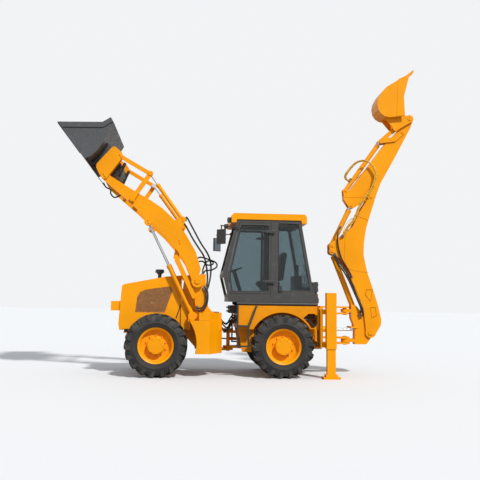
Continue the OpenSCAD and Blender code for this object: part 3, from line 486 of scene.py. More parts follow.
def finished(name, mesh, material, body, smooth=False):
    """An object at the origin that wears one material and rides on one body."""
    obj = linked(name, mesh)
    give(obj, material)
    for face in mesh.polygons:
        face.use_smooth = smooth
    if body:
        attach(obj, body)
    return obj


def applied(name, obj):
    """The object's mesh with its modifiers applied. The object itself is removed."""
    bpy.context.view_layer.update()
    seen = obj.evaluated_get(bpy.context.evaluated_depsgraph_get())
    mesh = bpy.data.meshes.new_from_object(seen)
    mesh.name = name
    bpy.data.objects.remove(obj)
    return mesh


def softened(name, mesh, width, segments=2):
    """The mesh with its edges rounded to width, in metres."""
    rough = linked(name + "_rough", mesh)
    bevel = rough.modifiers.new("edges", "BEVEL")
    bevel.width = width
    bevel.segments = segments
    bevel.limit_method = "ANGLE"
    bevel.angle_limit = math.radians(40)
    return applied(name, rough)


def made(name, bm, outward=True):
    """The mesh of a bmesh, with its faces turned outward unless they are already."""
    if outward:
        bmesh.ops.recalc_face_normals(bm, faces=bm.faces)
    mesh = bpy.data.meshes.new(name)
    bm.to_mesh(mesh)
    bm.free()
    return mesh


def plate(name, outline, y_in, y_out, material, body, edge=4):
    """A plate from a side-view outline in millimetres, between two lateral places."""
    bm = bmesh.new()
    low, high = sorted((y_in, y_out))
    first = [bm.verts.new(at(x, low, z)) for x, z in outline]
    second = [bm.verts.new(at(x, high, z)) for x, z in outline]
    bm.faces.new(first)
    bm.faces.new(second[::-1])
    for i in range(len(outline)):
        j = (i + 1) % len(outline)
        bm.faces.new((first[j], first[i], second[i], second[j]))
    return finished(name, softened(name, made(name, bm), edge / 1000), material, body)


def smooth_path(points, count):
    """A Catmull-Rom line through the points, with count points of its own."""
    pts = [Vector(p) for p in points]
    pts = [pts[0] * 2 - pts[1]] + pts + [pts[-1] * 2 - pts[-2]]
    spans = len(pts) - 3
    path = []
    for i in range(count):
        s = i / (count - 1) * spans
        k = min(int(s), spans - 1)
        t = s - k
        a, b, c, d = pts[k:k + 4]
        path.append(0.5 * ((2 * b) + (c - a) * t + (2 * a - 5 * b + 4 * c - d) * t * t
                           + (3 * b - a - 3 * c + d) * t ** 3))
    return path


def circle(bm, centre, side, other, radius, sides):
    """A ring of new points round centre, in the plane of side and other."""
    turns = [2 * math.pi * k / sides for k in range(sides)]
    return [bm.verts.new(centre + (side * math.cos(a) + other * math.sin(a)) * radius) for a in turns]


def skin(bm, rings):
    """Faces between each ring and the next, and one at either end."""
    for low, high in zip(rings, rings[1:]):
        for k in range(len(low)):
            j = (k + 1) % len(low)
            bm.faces.new((low[k], low[j], high[j], high[k]))
    bm.faces.new(rings[0][::-1])
    bm.faces.new(rings[-1])


def swept(name, path, radius, sides=10):
    """A closed tube mesh along a path of points."""
    bm = bmesh.new()
    rings = []
    side = (path[1] - path[0]).orthogonal()
    for i, p in enumerate(path):
        ahead = (path[min(i + 1, len(path) - 1)] - path[max(i - 1, 0)]).normalized()
        side = (side - ahead * side.dot(ahead)).normalized()
        rings.append(circle(bm, p, side, ahead.cross(side), radius, sides))
    skin(bm, rings)
    return made(name, bm, outward=False)


def turned_part(name, centre, axis, profile, material, body, steps=24):
    """A turned part: profile lists (radius, height along the axis) in millimetres."""
    axis = Vector(axis).normalized()
    side = axis.orthogonal().normalized()
    bm = bmesh.new()
    other = axis.cross(side)
    skin(bm, [circle(bm, centre + axis * h / 1000, side, other, r / 1000, steps) for r, h in profile])
    return finished(name, made(name, bm), material, body)


# %% [markdown]
# Bolts repeat everywhere, so a Geometry Nodes tree makes them: it puts a hexagon head on
# a washer at every point it is given, turned to face one way. The same tree with other
# numbers makes wheel nuts, valve stubs and the holes of a grille.

# %% The bolt tree


def bolt_tree():
    tree = bpy.data.node_groups.new("bolts_on_points", "GeometryNodeTree")
    sockets = [("Geometry", "NodeSocketGeometry", None), ("Head radius", "NodeSocketFloat", 0.012),
               ("Head height", "NodeSocketFloat", 0.010), ("Washer radius", "NodeSocketFloat", 0.016),
               ("Washer height", "NodeSocketFloat", 0.003), ("Turn", "NodeSocketRotation", None),
               ("Finish", "NodeSocketMaterial", None), ("Sides", "NodeSocketInt", 6)]
    for name, kind, value in sockets:
        s = tree.interface.new_socket(name, in_out="INPUT", socket_type=kind)
        if value is not None:
            s.default_value = value
    tree.interface.new_socket("Geometry", in_out="OUTPUT", socket_type="NodeSocketGeometry")
    nodes = tree.nodes
    link = tree.links.new
    given = nodes.new("NodeGroupInput")
    result = nodes.new("NodeGroupOutput")
    points = nodes.new("GeometryNodeMeshToPoints")
    head = nodes.new("GeometryNodeMeshCylinder")
    washer = nodes.new("GeometryNodeMeshCylinder")
    washer.inputs["Vertices"].default_value = 12
    lift = nodes.new("GeometryNodeTransform")
    join = nodes.new("GeometryNodeJoinGeometry")
    place = nodes.new("GeometryNodeInstanceOnPoints")
    real = nodes.new("GeometryNodeRealizeInstances")
    coat = nodes.new("GeometryNodeSetMaterial")
    half = nodes.new("ShaderNodeMath")
    half.operation = "MULTIPLY_ADD"
    half.inputs[1].default_value = 0.5
    offset = nodes.new("ShaderNodeCombineXYZ")
    link(given.outputs["Geometry"], points.inputs["Mesh"])
    link(given.outputs["Sides"], head.inputs["Vertices"])
    link(given.outputs["Head radius"], head.inputs["Radius"])
    link(given.outputs["Head height"], head.inputs["Depth"])
    link(given.outputs["Washer radius"], washer.inputs["Radius"])
    link(given.outputs["Washer height"], washer.inputs["Depth"])
    link(given.outputs["Head height"], half.inputs[0])
    link(given.outputs["Washer height"], half.inputs[2])
    link(half.outputs[0], offset.inputs["Z"])
    link(head.outputs["Mesh"], lift.inputs["Geometry"])
    link(offset.outputs[0], lift.inputs["Translation"])
    link(lift.outputs[0], join.inputs[0])
    link(washer.outputs["Mesh"], join.inputs[0])
    link(points.outputs[0], place.inputs["Points"])
    link(join.outputs[0], place.inputs["Instance"])
    link(given.outputs["Turn"], place.inputs["Rotation"])
    link(place.outputs[0], real.inputs[0])
    link(real.outputs[0], coat.inputs["Geometry"])
    link(given.outputs["Finish"], coat.inputs["Material"])
    link(coat.outputs[0], result.inputs[0])
    return tree


BOLTS = bolt_tree()
SOCKET = {item.name: item.identifier for item in BOLTS.interface.items_tree if item.in_out == "INPUT"}


def bolts(name, places, facing, material, body, head=12, height=10, washer=16, thick=3, sides=6):
    """One mesh of bolts at the places, all facing one way. Sizes are in millimetres."""
    mesh = bpy.data.meshes.new(name + "_points")
    mesh.from_pydata([tuple(p) for p in places], [], [])
    obj = linked(name + "_points", mesh)
    mod = obj.modifiers.new("bolts", "NODES")
    mod.node_group = BOLTS
    turn = Vector(facing).to_track_quat("Z", "Y").to_euler()
    values = {"Head radius": head / 1000, "Head height": height / 1000, "Washer radius": washer / 1000,
              "Washer height": thick / 1000, "Turn": turn, "Finish": material, "Sides": sides}
    for key, value in values.items():
        mod[SOCKET[key]] = value
    return finished(name, applied(name, obj), material, body)


# %% [markdown]
# Each wheel is held by ten nuts on a ring round the hub, and the hub's cover by six small
# bolts. The left and right wheels face opposite ways.

# %% Wheel nuts
NUT_RING = 190
HUB_RING = 128
NUT_FACE = 60
HUB_FACE = 176.5


def bolt_circle(x, y, radius, count, start):
    """Places on a circle round a wheel's axle, from start degrees on."""
    turns = [math.radians(start + 360 / count * k) for k in range(count)]
    return [at(x + radius * math.cos(a), y, AXLE_Z + radius * math.sin(a)) for a in turns]


for place, x, y in WHEELS:
    out = 1 if y > 0 else -1
    ring = bolt_circle(x, y + out * NUT_FACE, NUT_RING, 10, 18)
    cover = bolt_circle(x, y + out * HUB_FACE, HUB_RING, 6, 0)
    bolts("wheel_nuts_" + place, ring, (0, out, 0), wheel_paint, "wheel_" + place, 15, 22, 19, 6)
    bolts("hub_bolts_" + place, cover, (0, out, 0), wheel_paint, "wheel_" + place, 8, 7, 10, 2)
print("wheel nuts on", len(WHEELS), "wheels")

# %% [markdown]
# Pins are kept from turning by a small cap or a keeper bar with two bolts. They are what
# the eye finds first on a linkage, so every pivot seen from outside has one, on both sides
# of the machine.

# %% Pin caps and keepers


def both_sides(make):
    """Calls make with +1 and 'left', then with -1 and 'right'."""
    for out, side in ((1, "left"), (-1, "right")):
        make(out, side)


# name, place in the side view, outer face from the centreline, radius, body
PIN_CAPS = [
    ("arm_pivot", ARM_PIVOT, 725, 58, "front"),
    ("lever_foot", on_arm(1997, 86), 782, 42, "arms"),
    ("lever_top", on_arm(2151, 678), 771, 46, "tilt_levers"),
]
# name, place, outer face, angle of the bar, body
KEEPERS = [
    ("coupler_pin", COUPLER_PIN, 750, 60, "hitch"),
    ("coupler_top", on_arm(2783, 475), 750, 60, "hitch"),
    ("tilt_base", on_arm(1076, 563), ARM_FACE, 70, "arms"),
    ("rocker", on_arm(791, 239), ARM_FACE, 80, "arms"),
    ("lift_top", on_arm(1476, 42), ARM_FACE, 75, "arms"),
]


def keeper_bar(name, place, y, out, angle, body, length=84, width=24):
    corners = [(-length / 2, -width / 2), (length / 2, -width / 2), (length / 2, width / 2),
               (-length / 2, width / 2)]
    outline = [placed_from(place, angle, *corner) for corner in corners]
    plate(name, outline, out * (y - 2), out * (y + 7), paint, body, 2)
    screws = [placed_from(place, angle, t, 0) for t in (-length * 0.34, length * 0.34)]
    ends = [at(x, out * (y + 7.5), z) for x, z in screws]
    bolts(name + "_bolts", ends, (0, out, 0), paint, body, 8, 7, 11, 2)


def side_pins(out, side):
    for name, place, y, r, body in PIN_CAPS:
        centre = at(place[0], out * y, place[1])
        turned_part("cap_%s_%s" % (name, side), centre, (0, out, 0),
                    [(r, -3), (r, 7), (r - 5, 11), (10, 12)], paint, body, 28)
        ring = [at(place[0] + (r - 16) * math.cos(a), out * (y + 11.5), place[1] + (r - 16) * math.sin(a))
                for a in (0.5, 2.6, 4.7)]
        bolts("cap_bolts_%s_%s" % (name, side), ring, (0, out, 0), paint, body, 7, 6, 9, 2)
    for name, place, y, angle, body in KEEPERS:
        keeper_bar("keeper_%s_%s" % (name, side), place, y, out, angle, body)


both_sides(side_pins)

# name, place, outer face, radius, body
HOE_CAPS = [
    ("boom_foot", BOOM_FOOT, 131, 60, "kingpost"),
    ("boom_hump", on_boom(1615, -800), BOOM_FACE, 40, "boom"),
    ("dipper_cylinder", on_boom(1720, -802), BOOM_FACE, 40, "boom"),
    ("boom_tip", BOOM_TIP, BOOM_FACE, 56, "boom"),
    ("lever_foot", on_dipper(1526, -5), 114, 38, "dipper"),
    ("hoe_base", on_dipper(-146, -514), DIPPER_FACE, 34, "dipper"),
    ("dipper_tail", on_dipper(-369, -273), DIPPER_FACE, 34, "dipper"),
    ("hoe_pin", HOE_PIN, 143, 46, "hoe_bucket"),
]


def hoe_pins(out, side):
    for name, place, y, r, body in HOE_CAPS:
        turned_part("hoe_%s_%s" % (name, side), at(place[0], out * y, place[1]), (0, out, 0),
                    [(r, -3), (r, 6), (r - 4, 9), (8, 10)], paint, body, 24)
        ends = [at(place[0], out * (y + 9.5), place[1] + t) for t in (-r * 0.5, r * 0.5)]
        bolts("hoe_%s_bolts_%s" % (name, side), ends, (0, out, 0), paint, body, 7, 6, 9, 2)


both_sides(hoe_pins)
print("pins capped")

# %% [markdown]
# Weld beads show as thin raised lines where the arms, the boom and the dipper are built
# up from plates. Each bead is a slim tube laid half into the plate's face. The beads on
# the boom, the dipper and under the front box's top band are a darker orange, painted
# shadow along their seams. Two thick ones stand for the band that stiffens the loader bucket's side.

# %% Weld beads
# name, places in the side view, face from the centreline, finish, body, radius, points
SEAMS = [
    ("weld_arm", [on_arm(1030, 432), on_arm(905, 250), on_arm(850, 118)], ARM_FACE, paint, "arms", 3.2, 40),
    ("weld_box", [(205, 440), (205, 1040)], 920, paint, "front", 2.5, 4),
    # A dark line of painted shadow under the ledge of the front box's top band.
    ("weld_box_top", [(396, 1043), (300, 1043), (196, 1043)], 905, painted_seam_shadow, "front", 7, 40),
    # The dipper and boom beads below are darker orange: painted shadow along their seams.
    ("weld_gusset", [(-2660, 3788), (-2855, 3995), (-3051, 4194)], DIPPER_FACE, painted_seam_shadow, "dipper",
     3.2, 40),
    ("weld_dipper_base", [(-2552, 3568), (-2766, 3569), (-2958, 3570)], DIPPER_FACE, painted_seam_shadow, "dipper",
     3.2, 40),
    ("weld_boom_top", [(-2787, 3170), (-2901, 3147), (-3028, 3091)], BOOM_FACE, painted_seam_shadow, "boom", 4, 40),
    ("weld_boom_inner", [(-2761, 3169), (-2624, 3027), (-2559, 2795), (-2536, 2503), (-2543, 2254),
                         (-2617, 1967), (-2762, 1702), (-2864, 1438)], BOOM_FACE, painted_seam_shadow, "boom", 3, 40),
    ("weld_boom_low", [(-3030, 2030), (-2870, 2040), (-2700, 2070), (-2620, 2110)], BOOM_FACE, painted_seam_shadow,
     "boom", 3, 40),
    ("bucket_band_0", [on_bucket(1148, -100), on_bucket(708, 510)], 1005, dark_iron, "hitch", 9, 40),
    ("bucket_band_1", [on_bucket(708, 510), on_bucket(690, 729)], 1005, dark_iron, "hitch", 9, 40),
]


def side_welds(out, side):
    for name, places, face, material, body, radius, count in SEAMS:
        path = smooth_path([at(x, out * face, z) for x, z in places], count)
        bead = swept("%s_%s" % (name, side), path, radius / 1000, 8)
        finished(bead.name, bead, material, body, smooth=True)


both_sides(side_welds)

# %% [markdown]
# Two flat stiffening frames are welded to the boom's foot on each side. Seen from the
# side they are thin raised outlines, cut with an open middle, in the darker orange of
# painted shadow along their edges.

# %% Boom foot frames
FOOT_FRAMES = {
    "boom_frame_a_": [(-3112, 1687), (-3066, 1438), (-2946, 1584), (-2990, 1690)],
    "boom_frame_b_": [(-3050, 1328), (-3160, 1337), (-3190, 1157), (-3088, 1113)],
}
FRAME_BAND = 16
FRAME_FACES = (124, 130)


def ring_plate(name, outline, y_in, y_out, material, body):
    """A flat closed band: the outline, and its copy drawn in by the band's width."""
    cx = sum(p[0] for p in outline) / len(outline)
    cz = sum(p[1] for p in outline) / len(outline)
    bm = bmesh.new()
    loops = []
    for y in (y_in, y_out):
        for band in (0, FRAME_BAND):
            ring = []
            for x, z in outline:
                k = 1 - band / math.hypot(x - cx, z - cz)
                ring.append(bm.verts.new(at(cx + (x - cx) * k, y, cz + (z - cz) * k)))
            loops.append(ring)
    o1, i1, o2, i2 = loops
    for k in range(len(outline)):
        j = (k + 1) % len(outline)
        bm.faces.new((o1[k], o1[j], i1[j], i1[k]))
        bm.faces.new((o2[j], o2[k], i2[k], i2[j]))
        bm.faces.new((o1[j], o1[k], o2[k], o2[j]))
        bm.faces.new((i1[k], i1[j], i2[j], i2[k]))
    return finished(name, softened(name, made(name, bm), 0.002, 1), material, body)


def foot_frames(out, side):
    for name, outline in FOOT_FRAMES.items():
        # The frames wear the darker orange of painted shadow along their edges.
        ring_plate(name + side, outline, out * FRAME_FACES[0], out * FRAME_FACES[1], painted_seam_shadow, "boom")


both_sides(foot_frames)

# %% [markdown]
# Rubber seals run round every pane of the cab. They hide the joint of glass and steel and
# draw the thin black line that makes a cab look glazed.

# %% Cab seals
DOOR_PANE = [(-223, 1604), (-174, 1920), (-383, 2881), (-921, 2881), (-921, 1604)]
REAR_PANE = [(-1105, 1620), (-1105, 2925), (-1500, 2925), (-1725, 1650), (-1725, 1620)]


def seal_path(outline, y, corner=36, steps=5):
    """A closed outline with rounded corners, as points at y."""
    pts = []
    n = len(outline)
    for i, p in enumerate(outline):
        before = Vector(outline[i - 1])
        here = Vector(p)
        after = Vector(outline[(i + 1) % n])
        a = here + (before - here).normalized() * corner
        b = here + (after - here).normalized() * corner
        for k in range(steps + 1):
            t = k / steps
            q = a * (1 - t) ** 2 + here * 2 * t * (1 - t) + b * t ** 2
            pts.append(at(q.x, y, q.y))
    return pts + [pts[0], pts[1]]


def side_seals(out, side):
    for name, outline, y, radius, body in (("seal_door_", DOOR_PANE, 692, 0.011, "door_" + side),
                                           ("seal_rear_", REAR_PANE, 689, 0.013, "rear")):
        seal = swept(name + side, seal_path(outline, out * y), radius, 8)
        finished(seal.name, seal, black_rubber, body, smooth=True)


both_sides(side_seals)
print("cab sealed")

# %% [markdown]
# Mirrors have a dark moulded shell with soft corners and a silvered face that looks back
# at the seat. Work lamps and the nose lamps get lenses.

# %% Mirrors and lamps
MIRROR_TURN = math.radians(45)
MIRROR_HALF = (0.093, 0.128)


def mirror_and_lamps(out, side):
    along = Vector((math.cos(MIRROR_TURN), -out * math.sin(MIRROR_TURN), 0)) * MIRROR_HALF[0]
    face = Vector((-math.sin(MIRROR_TURN), -out * math.cos(MIRROR_TURN), 0))
    rise = Vector((0, 0, MIRROR_HALF[1]))
    middle = at(15, out * 945, 2618) + face * 0.015
    bm = bmesh.new()
    corners = ((-1, -1), (1, -1), (1, 1), (-1, 1))
    bm.faces.new([bm.verts.new(middle + along * a + rise * b) for a, b in corners])
    grown = bmesh.ops.extrude_face_region(bm, geom=bm.faces[:])["geom"]
    bmesh.ops.translate(bm, verts=[v for v in grown if isinstance(v, bmesh.types.BMVert)], vec=face * 0.002)
    finished("mirror_face_" + side, made("mirror_face_" + side, bm), mirror_glass, "rear")
    turned_part("work_lamp_" + side, at(-120, out * 585, 2980), (1, 0, 0),
                [(40, -4), (40, 3), (30, 8), (6, 10)], clear_lens, "rear", 24)
    turned_part("nose_lamp_" + side, at(2070, out * 325, 1295), (1, 0, 0),
                [(52, -2), (52, 6), (44, 12), (8, 16)], clear_lens, "hood", 28)


both_sides(mirror_and_lamps)

# %% [markdown]
# The rust-brown side grilles are sheet punched with a tight grid of round holes. The bolt
# tree, with a flat dark disc for a head and hardly any washer, prints the holes. The discs'
# black is painted shade for the dark inside seen through each hole.

# %% Grille holes
GRILLE = [(1620, 1175), (1590, 1460), (1540, 1560), (1440, 1608), (960, 1680), (910, 1610), (1055, 1175)]


def inside(outline, x, z):
    hit = False
    for i in range(len(outline)):
        (x1, z1), (x2, z2) = outline[i - 1], outline[i]
        if (z1 > z) != (z2 > z) and x < (x2 - x1) * (z - z1) / (z2 - z1) + x1:
            hit = not hit
    return hit


HOLE_PITCH = 17
HOLE_MARGIN = 14
GRILLE_FACE = 432.2


def punched(out, side):
    """Holes in staggered rows, as far as a margin from the sheet's edge."""
    near = [(-HOLE_MARGIN, 0), (HOLE_MARGIN, 0), (0, -HOLE_MARGIN), (0, HOLE_MARGIN)]
    places = []
    row = 0
    z = 1185
    while z < 1675:
        x = 915 + (row % 2) * HOLE_PITCH / 2
        while x < 1615:
            if all(inside(GRILLE, x + dx, z + dz) for dx, dz in near):
                places.append(at(x, out * GRILLE_FACE, z))
            x += HOLE_PITCH
        z += HOLE_PITCH * 0.87
        row += 1
    # Flat black discs: painted shade standing for the dark inside behind each hole.
    bolts("grille_holes_" + side, places, (0, out, 0), black_rubber, "hood", 4.6, 0.6, 0.5, 0.1)
    return len(places)


print("grille holes", punched(1, "left"), punched(-1, "right"))

# %% [markdown]
# Hydraulic hoses leave one body and reach another over a joint. Each is a smooth tube
# through a few points, with a crimped steel ferrule at both ends. A hose that crosses a
# joint rides on no body, and each of its two ferrules rides on the body at its end.

# %% Hoses


def path_length(path):
    return sum((b - a).length for a, b in zip(path, path[1:]))


def ferrule(name, end, inward, radius, body):
    """A crimped hose end: a hexagon nut and a ribbed sleeve, drawn along the hose."""
    r = radius * 1000
    profile = [(r * 1.5, -8), (r * 1.5, 8), (r * 1.2, 10), (r * 1.25, 16), (r * 1.35, 18), (r * 1.35, 24),
               (r * 1.25, 26), (r * 1.35, 28), (r * 1.35, 34), (r * 1.05, 38)]
    turned_part(name, end, inward, profile, bolt_steel, body, 12)


def hose(name, points, diameter, body, other, start, end, material=black_rubber, count=40):
    """A hose along points. If it joins two bodies it rides on neither: the end nearer start gets a ferrule
    on body, the other end one on other.
    """
    path = smooth_path([at(*p) for p in points], count)
    radius = diameter / 2000
    obj = finished(name, swept(name, path, radius), material, None, smooth=True)
    first = last = body
    if other:
        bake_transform(obj)
        begins_on_body = (path[0] - at(*start)).length < (path[0] - at(*end)).length
        first, last = (body, other) if begins_on_body else (other, body)
    else:
        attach(obj, body)
    ferrule(name + "_end_a", path[0], path[1] - path[0], radius, first)
    ferrule(name + "_end_b", path[-1], path[-2] - path[-1], radius, last)
    return path_length(path)


# name, diameter, bodies, two places that tell which end's ferrule rides on which body, and the route
HOSES = [
    ("hose_arm_a", 34, "arms", "front", (420, 560, 2560), (221, 560, 1750),
     [(700, 622, 2950), (671, 560, 3011), (555, 560, 2811), (393, 540, 2524), (255, 470, 2326),
      (185, 330, 2150), (181, 320, 1929), (221, 420, 1708), (262, 540, 1600)]),
    ("hose_arm_b", 34, "arms", "front", (450, 520, 2480), (245, 520, 1800),
     [(740, 618, 2905), (677, 530, 2831), (550, 520, 2610), (435, 520, 2434), (320, 500, 2258),
      (260, 420, 2016), (245, 420, 1817), (265, 520, 1640)]),
    ("hose_arm_c", 30, "arms", "front", (300, 500, 2250), (300, 500, 1960),
     [(470, 634, 2212), (380, 480, 2250), (227, 300, 2222), (80, 170, 2170), (57, 150, 2091),
      (150, 240, 2022), (290, 400, 1990), (340, 500, 1905)]),
    ("hose_arm_d", 30, "arms", "front", (340, 430, 2150), (340, 450, 1960),
     [(455, 634, 2150), (350, 500, 2170), (248, 330, 2110), (140, 220, 2134), (150, 190, 2190),
      (260, 250, 2180), (330, 400, 2040), (350, 490, 1905)]),
    ("hose_foot_a", 32, "front", None, None, None,
     [(300, 640, 1690), (250, 662, 1600), (238, 676, 1470), (255, 680, 1350), (300, 680, 1262),
      (362, 674, 1222), (418, 656, 1226), (440, 634, 1242)]),
    ("hose_foot_b", 32, "front", None, None, None,
     [(330, 640, 1650), (284, 664, 1570), (268, 678, 1450), (290, 684, 1350), (335, 682, 1290),
      (385, 672, 1268), (425, 654, 1280), (440, 634, 1300)]),
    ("hose_coupler", 28, "arms", "hitch", (2050, 560, 3380), (2230, 570, 3560),
     [(2300, 560, 3640), (2240, 580, 3560), (2160, 570, 3520), (2150, 560, 3440), (2083, 560, 3373),
      (1990, 565, 3400), (1930, 590, 3440)]),
    ("hose_steer_a", 28, "front", "rear", (-20, 300, 1060), (-320, 300, 1080),
     [(-345, 300, 1080), (-280, 300, 1100), (-220, 300, 1000), (-160, 290, 900), (-80, 290, 960),
      (-20, 300, 1060), (45, 300, 1080)]),
    ("hose_steer_b", 28, "front", "rear", (-20, 240, 1100), (-320, 240, 1110),
     [(-345, 240, 1110), (-270, 235, 1140), (-210, 235, 1060), (-150, 235, 960), (-70, 240, 1020),
      (-10, 245, 1110), (45, 245, 1120)]),
    ("hose_steer_c", 28, "front", "rear", (-20, 380, 990), (-320, 380, 1010),
     [(-345, 380, 1010), (-260, 385, 1010), (-200, 380, 900), (-130, 375, 820), (-60, 380, 880),
      (-10, 385, 990), (45, 385, 1010)]),
    ("hose_steer_d", 34, "front", "rear", (-20, 340, 1070), (-320, 335, 1080),
     [(-345, 330, 1080), (-270, 345, 1075), (-190, 352, 1010), (-120, 352, 980), (-55, 348, 1030),
      (0, 335, 1075), (45, 330, 1080)]),
    ("hose_steer_e", 34, "front", "rear", (-20, 345, 980), (-320, 345, 1010),
     [(-345, 345, 1010), (-270, 350, 1000), (-190, 356, 900), (-110, 356, 850), (-55, 350, 900),
      (0, 345, 990), (45, 345, 1005)]),
    ("hose_steer_f", 30, "front", "rear", (-20, 270, 1010), (-320, 270, 1040),
     [(-345, 270, 1045), (-270, 268, 1030), (-190, 262, 900), (-120, 260, 820), (-60, 264, 900),
      (-5, 270, 1020), (45, 272, 1040)]),
    ("hose_side_a", 32, "rear", None, None, None,
     [(-1560, 685, 1140), (-1610, 665, 1110), (-1690, 655, 1150), (-1780, 655, 1125), (-1845, 670, 1060),
      (-1848, 672, 985)]),
    ("hose_side_b", 32, "rear", None, None, None,
     [(-1612, 684, 1062), (-1660, 655, 1085), (-1730, 640, 1040), (-1790, 645, 975), (-1845, 660, 940)]),
    ("hose_side_c", 26, "rear", None, None, None,
     [(-1575, 684, 1190), (-1650, 640, 1180), (-1720, 625, 1100), (-1760, 625, 1020), (-1820, 640, 1000),
      (-1846, 650, 1150)]),
    ("hose_boom_a", 32, "kingpost", "boom", (-2890, 140, 1200), (-2801, 150, 1480),
     [(-2330, 150, 2400), (-2400, 152, 2250), (-2491, 150, 2130), (-2657, 150, 1865), (-2801, 150, 1500),
      (-2890, 150, 1290), (-2900, 140, 1180), (-2850, 110, 1130)]),
    ("hose_boom_b", 32, "kingpost", "boom", (-2860, 150, 1260), (-2780, 150, 1520),
     [(-2312, 148, 2388), (-2390, 155, 2210), (-2540, 155, 1990), (-2720, 155, 1650), (-2830, 155, 1380),
      (-2860, 150, 1250), (-2830, 110, 1180)]),
    ("hose_hump", 30, "boom", None, None, None,
     [(-2470, 62, 2960), (-2400, 130, 2850), (-2389, 158, 2624), (-2420, 158, 2450), (-2471, 156, 2294),
      (-2600, 156, 2080), (-2680, 144, 1930)]),
]
total = 0
for name, size, body, other, start, end, points in HOSES:
    total += hose(name, points, size, body, other, start, end)
print(len(HOSES), "hoses,", round(total, 2), "m in all")

# %% [markdown]
# The long hoses to the digging bucket's cylinder wear a coarse protective wrap. It is
# ochre, rubbed black in patches, and a strong bump from a stretched noise roughens it.

# %% The wrapped hose arch
wrap, s_tree, s_shader = surface("spiral_wrap", (0.62, 0.36, 0.03), 0.55)
spiral = between(s_tree, grain(s_tree, 38.0, 3), 0.36, 0.56)
coloured(s_tree, s_shader, spiral, (0.16, 0.11, 0.03), (0.80, 0.42, 0.02))
bumped(s_tree, s_shader, grain(s_tree, 90.0, 2, (1, 0.2, 1)), 0.5, 0.004)
ARCH_PORTS = [(-2668, 30, 3910), (-2702, 30, 3959)]
ARCH = [(-2604, 95, 3925), (-2578, 130, 4010), (-2647, 150, 4122), (-2770, 155, 4260), (-2908, 160, 4324),
        (-3040, 160, 4310), (-3123, 160, 4244), (-3190, 160, 4140), (-3207, 160, 4040), (-3140, 160, 3792),
        (-2990, 160, 3574), (-2870, 160, 3400), (-2740, 158, 3100), (-2600, 156, 2920), (-2500, 142, 2740)]
for k, (dy, dx) in enumerate(((0, 0), (14, 26))):
    shifted = [ARCH_PORTS[k]] + [(x + dx, y + dy, z + dx * 0.3) for x, y, z in ARCH]
    hose("hose_arch_%d" % k, shifted, 28, "boom", "dipper", (-2960, 160, 3480), (-2960, 160, 3720), wrap, 60)

# %% [markdown]
# Seat cushions are soft, so each starts as a rounded block, is cut into an even skin by a
# voxel remesh, and is blown up a little by a short cloth simulation with no gravity. The
# swelling pulls the middle up and leaves the corners drawn in, as foam in a cover does.

# %% Seat cushions
seat_cloth, e_tree, e_shader = surface("seat_cloth", (0.030, 0.031, 0.034), 0.85, Sheen_Weight=0.35)
weave = node(e_tree, "ShaderNodeTexWave", Scale=130.0, Distortion=1.5)
e_tree.links.new(local(e_tree), weave.inputs["Vector"])
worn = between(e_tree, grain(e_tree, 18.0, 5), 0.35, 0.7)
coloured(e_tree, e_shader, worn, (0.022, 0.023, 0.026), (0.055, 0.055, 0.058))
bumped(e_tree, e_shader, weave.outputs["Fac"], 0.3, 0.0008)
CUSHION_EDGE = 0.035
VOXEL = 0.012
PUFF_PRESSURE = 4
PUFF_LIMIT = 0.014
PUFF_FRAMES = 20


def cushion(name, corners, lean, foot, body):
    """A swollen block between two corners, leaned back by lean degrees about foot."""
    low, high = at(*corners[0]), at(*corners[1])
    bm = bmesh.new()
    bmesh.ops.create_cube(bm, size=1)
    bmesh.ops.scale(bm, vec=high - low, verts=bm.verts)
    bmesh.ops.translate(bm, vec=(low + high) / 2, verts=bm.verts)
    mesh = softened(name + "_block", made(name, bm, outward=False), CUSHION_EDGE, 4)
    obj = linked(name + "_soft", mesh)
    remesh = obj.modifiers.new("skin", "REMESH")
    remesh.mode = "VOXEL"
    remesh.voxel_size = VOXEL
    mesh = applied(name + "_skin", obj)
    rest = [v.co.copy() for v in mesh.vertices]
    obj = linked(name + "_soft", mesh)
    cloth = obj.modifiers.new("puff", "CLOTH")
    cloth.settings.use_pressure = True
    cloth.settings.uniform_pressure_force = PUFF_PRESSURE
    cloth.settings.effector_weights.gravity = 0
    for k in range(1, PUFF_FRAMES + 1):
        scene.frame_set(k)
    mesh = applied(name, obj)
    scene.frame_set(1)
    turn = Matrix.Rotation(math.radians(-lean), 4, "Y")
    pivot = at(*foot)
    for v, start in zip(mesh.vertices, rest):
        move = v.co - start
        if move.length > PUFF_LIMIT:
            move *= PUFF_LIMIT / move.length
        v.co = pivot + turn @ (start + move - pivot)
    rough = linked(name + "_rough", mesh)
    fine = rough.modifiers.new("fine", "SUBSURF")
    fine.levels = 1
    fine.render_levels = 1
    obj = finished(name, applied(name, rough), seat_cloth, body, smooth=True)
    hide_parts("seat")
    print(name, "faces", len(obj.data.polygons), "top", round(max(v.co.z for v in obj.data.vertices), 3))


cushion("seat_cushion", ((-1222, -236, 1716), (-752, 236, 1814)), 0, (-1240, 0, 1700), "rear")
cushion("seat_back", ((-1262, -226, 1812), (-1170, 226, 2408)), 8, (-1270, 0, 1790), "rear")
PEDESTAL = [(-1180, 1450), (-820, 1450), (-850, 1560), (-850, 1640), (-800, 1712), (-1200, 1712),
            (-1150, 1640), (-1150, 1560)]
pedestal = plate("seat_pedestal", PEDESTAL, -165, 165, black_plastic, "rear", 8)
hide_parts("seat")

# %% [markdown]
# Small plates are alike on both sides, so one table makes them all: moulded caps over the
# door hinges, the side window's catch, the rear lamp boxes, the strip that closes the
# hood's joint to the tower, the digging bucket's side cutters, and the inner guards.

# %% Side plates
HINGE_CAP = [(-808, -12), (-826, 18), (-1000, 34), (-1036, 30), (-1036, -30), (-1000, -34), (-826, -24)]
CUTTER = [(269, 790), (312, 20), (132, 36), (148, 447), (37, 864), (-36, 984), (93, 877)]
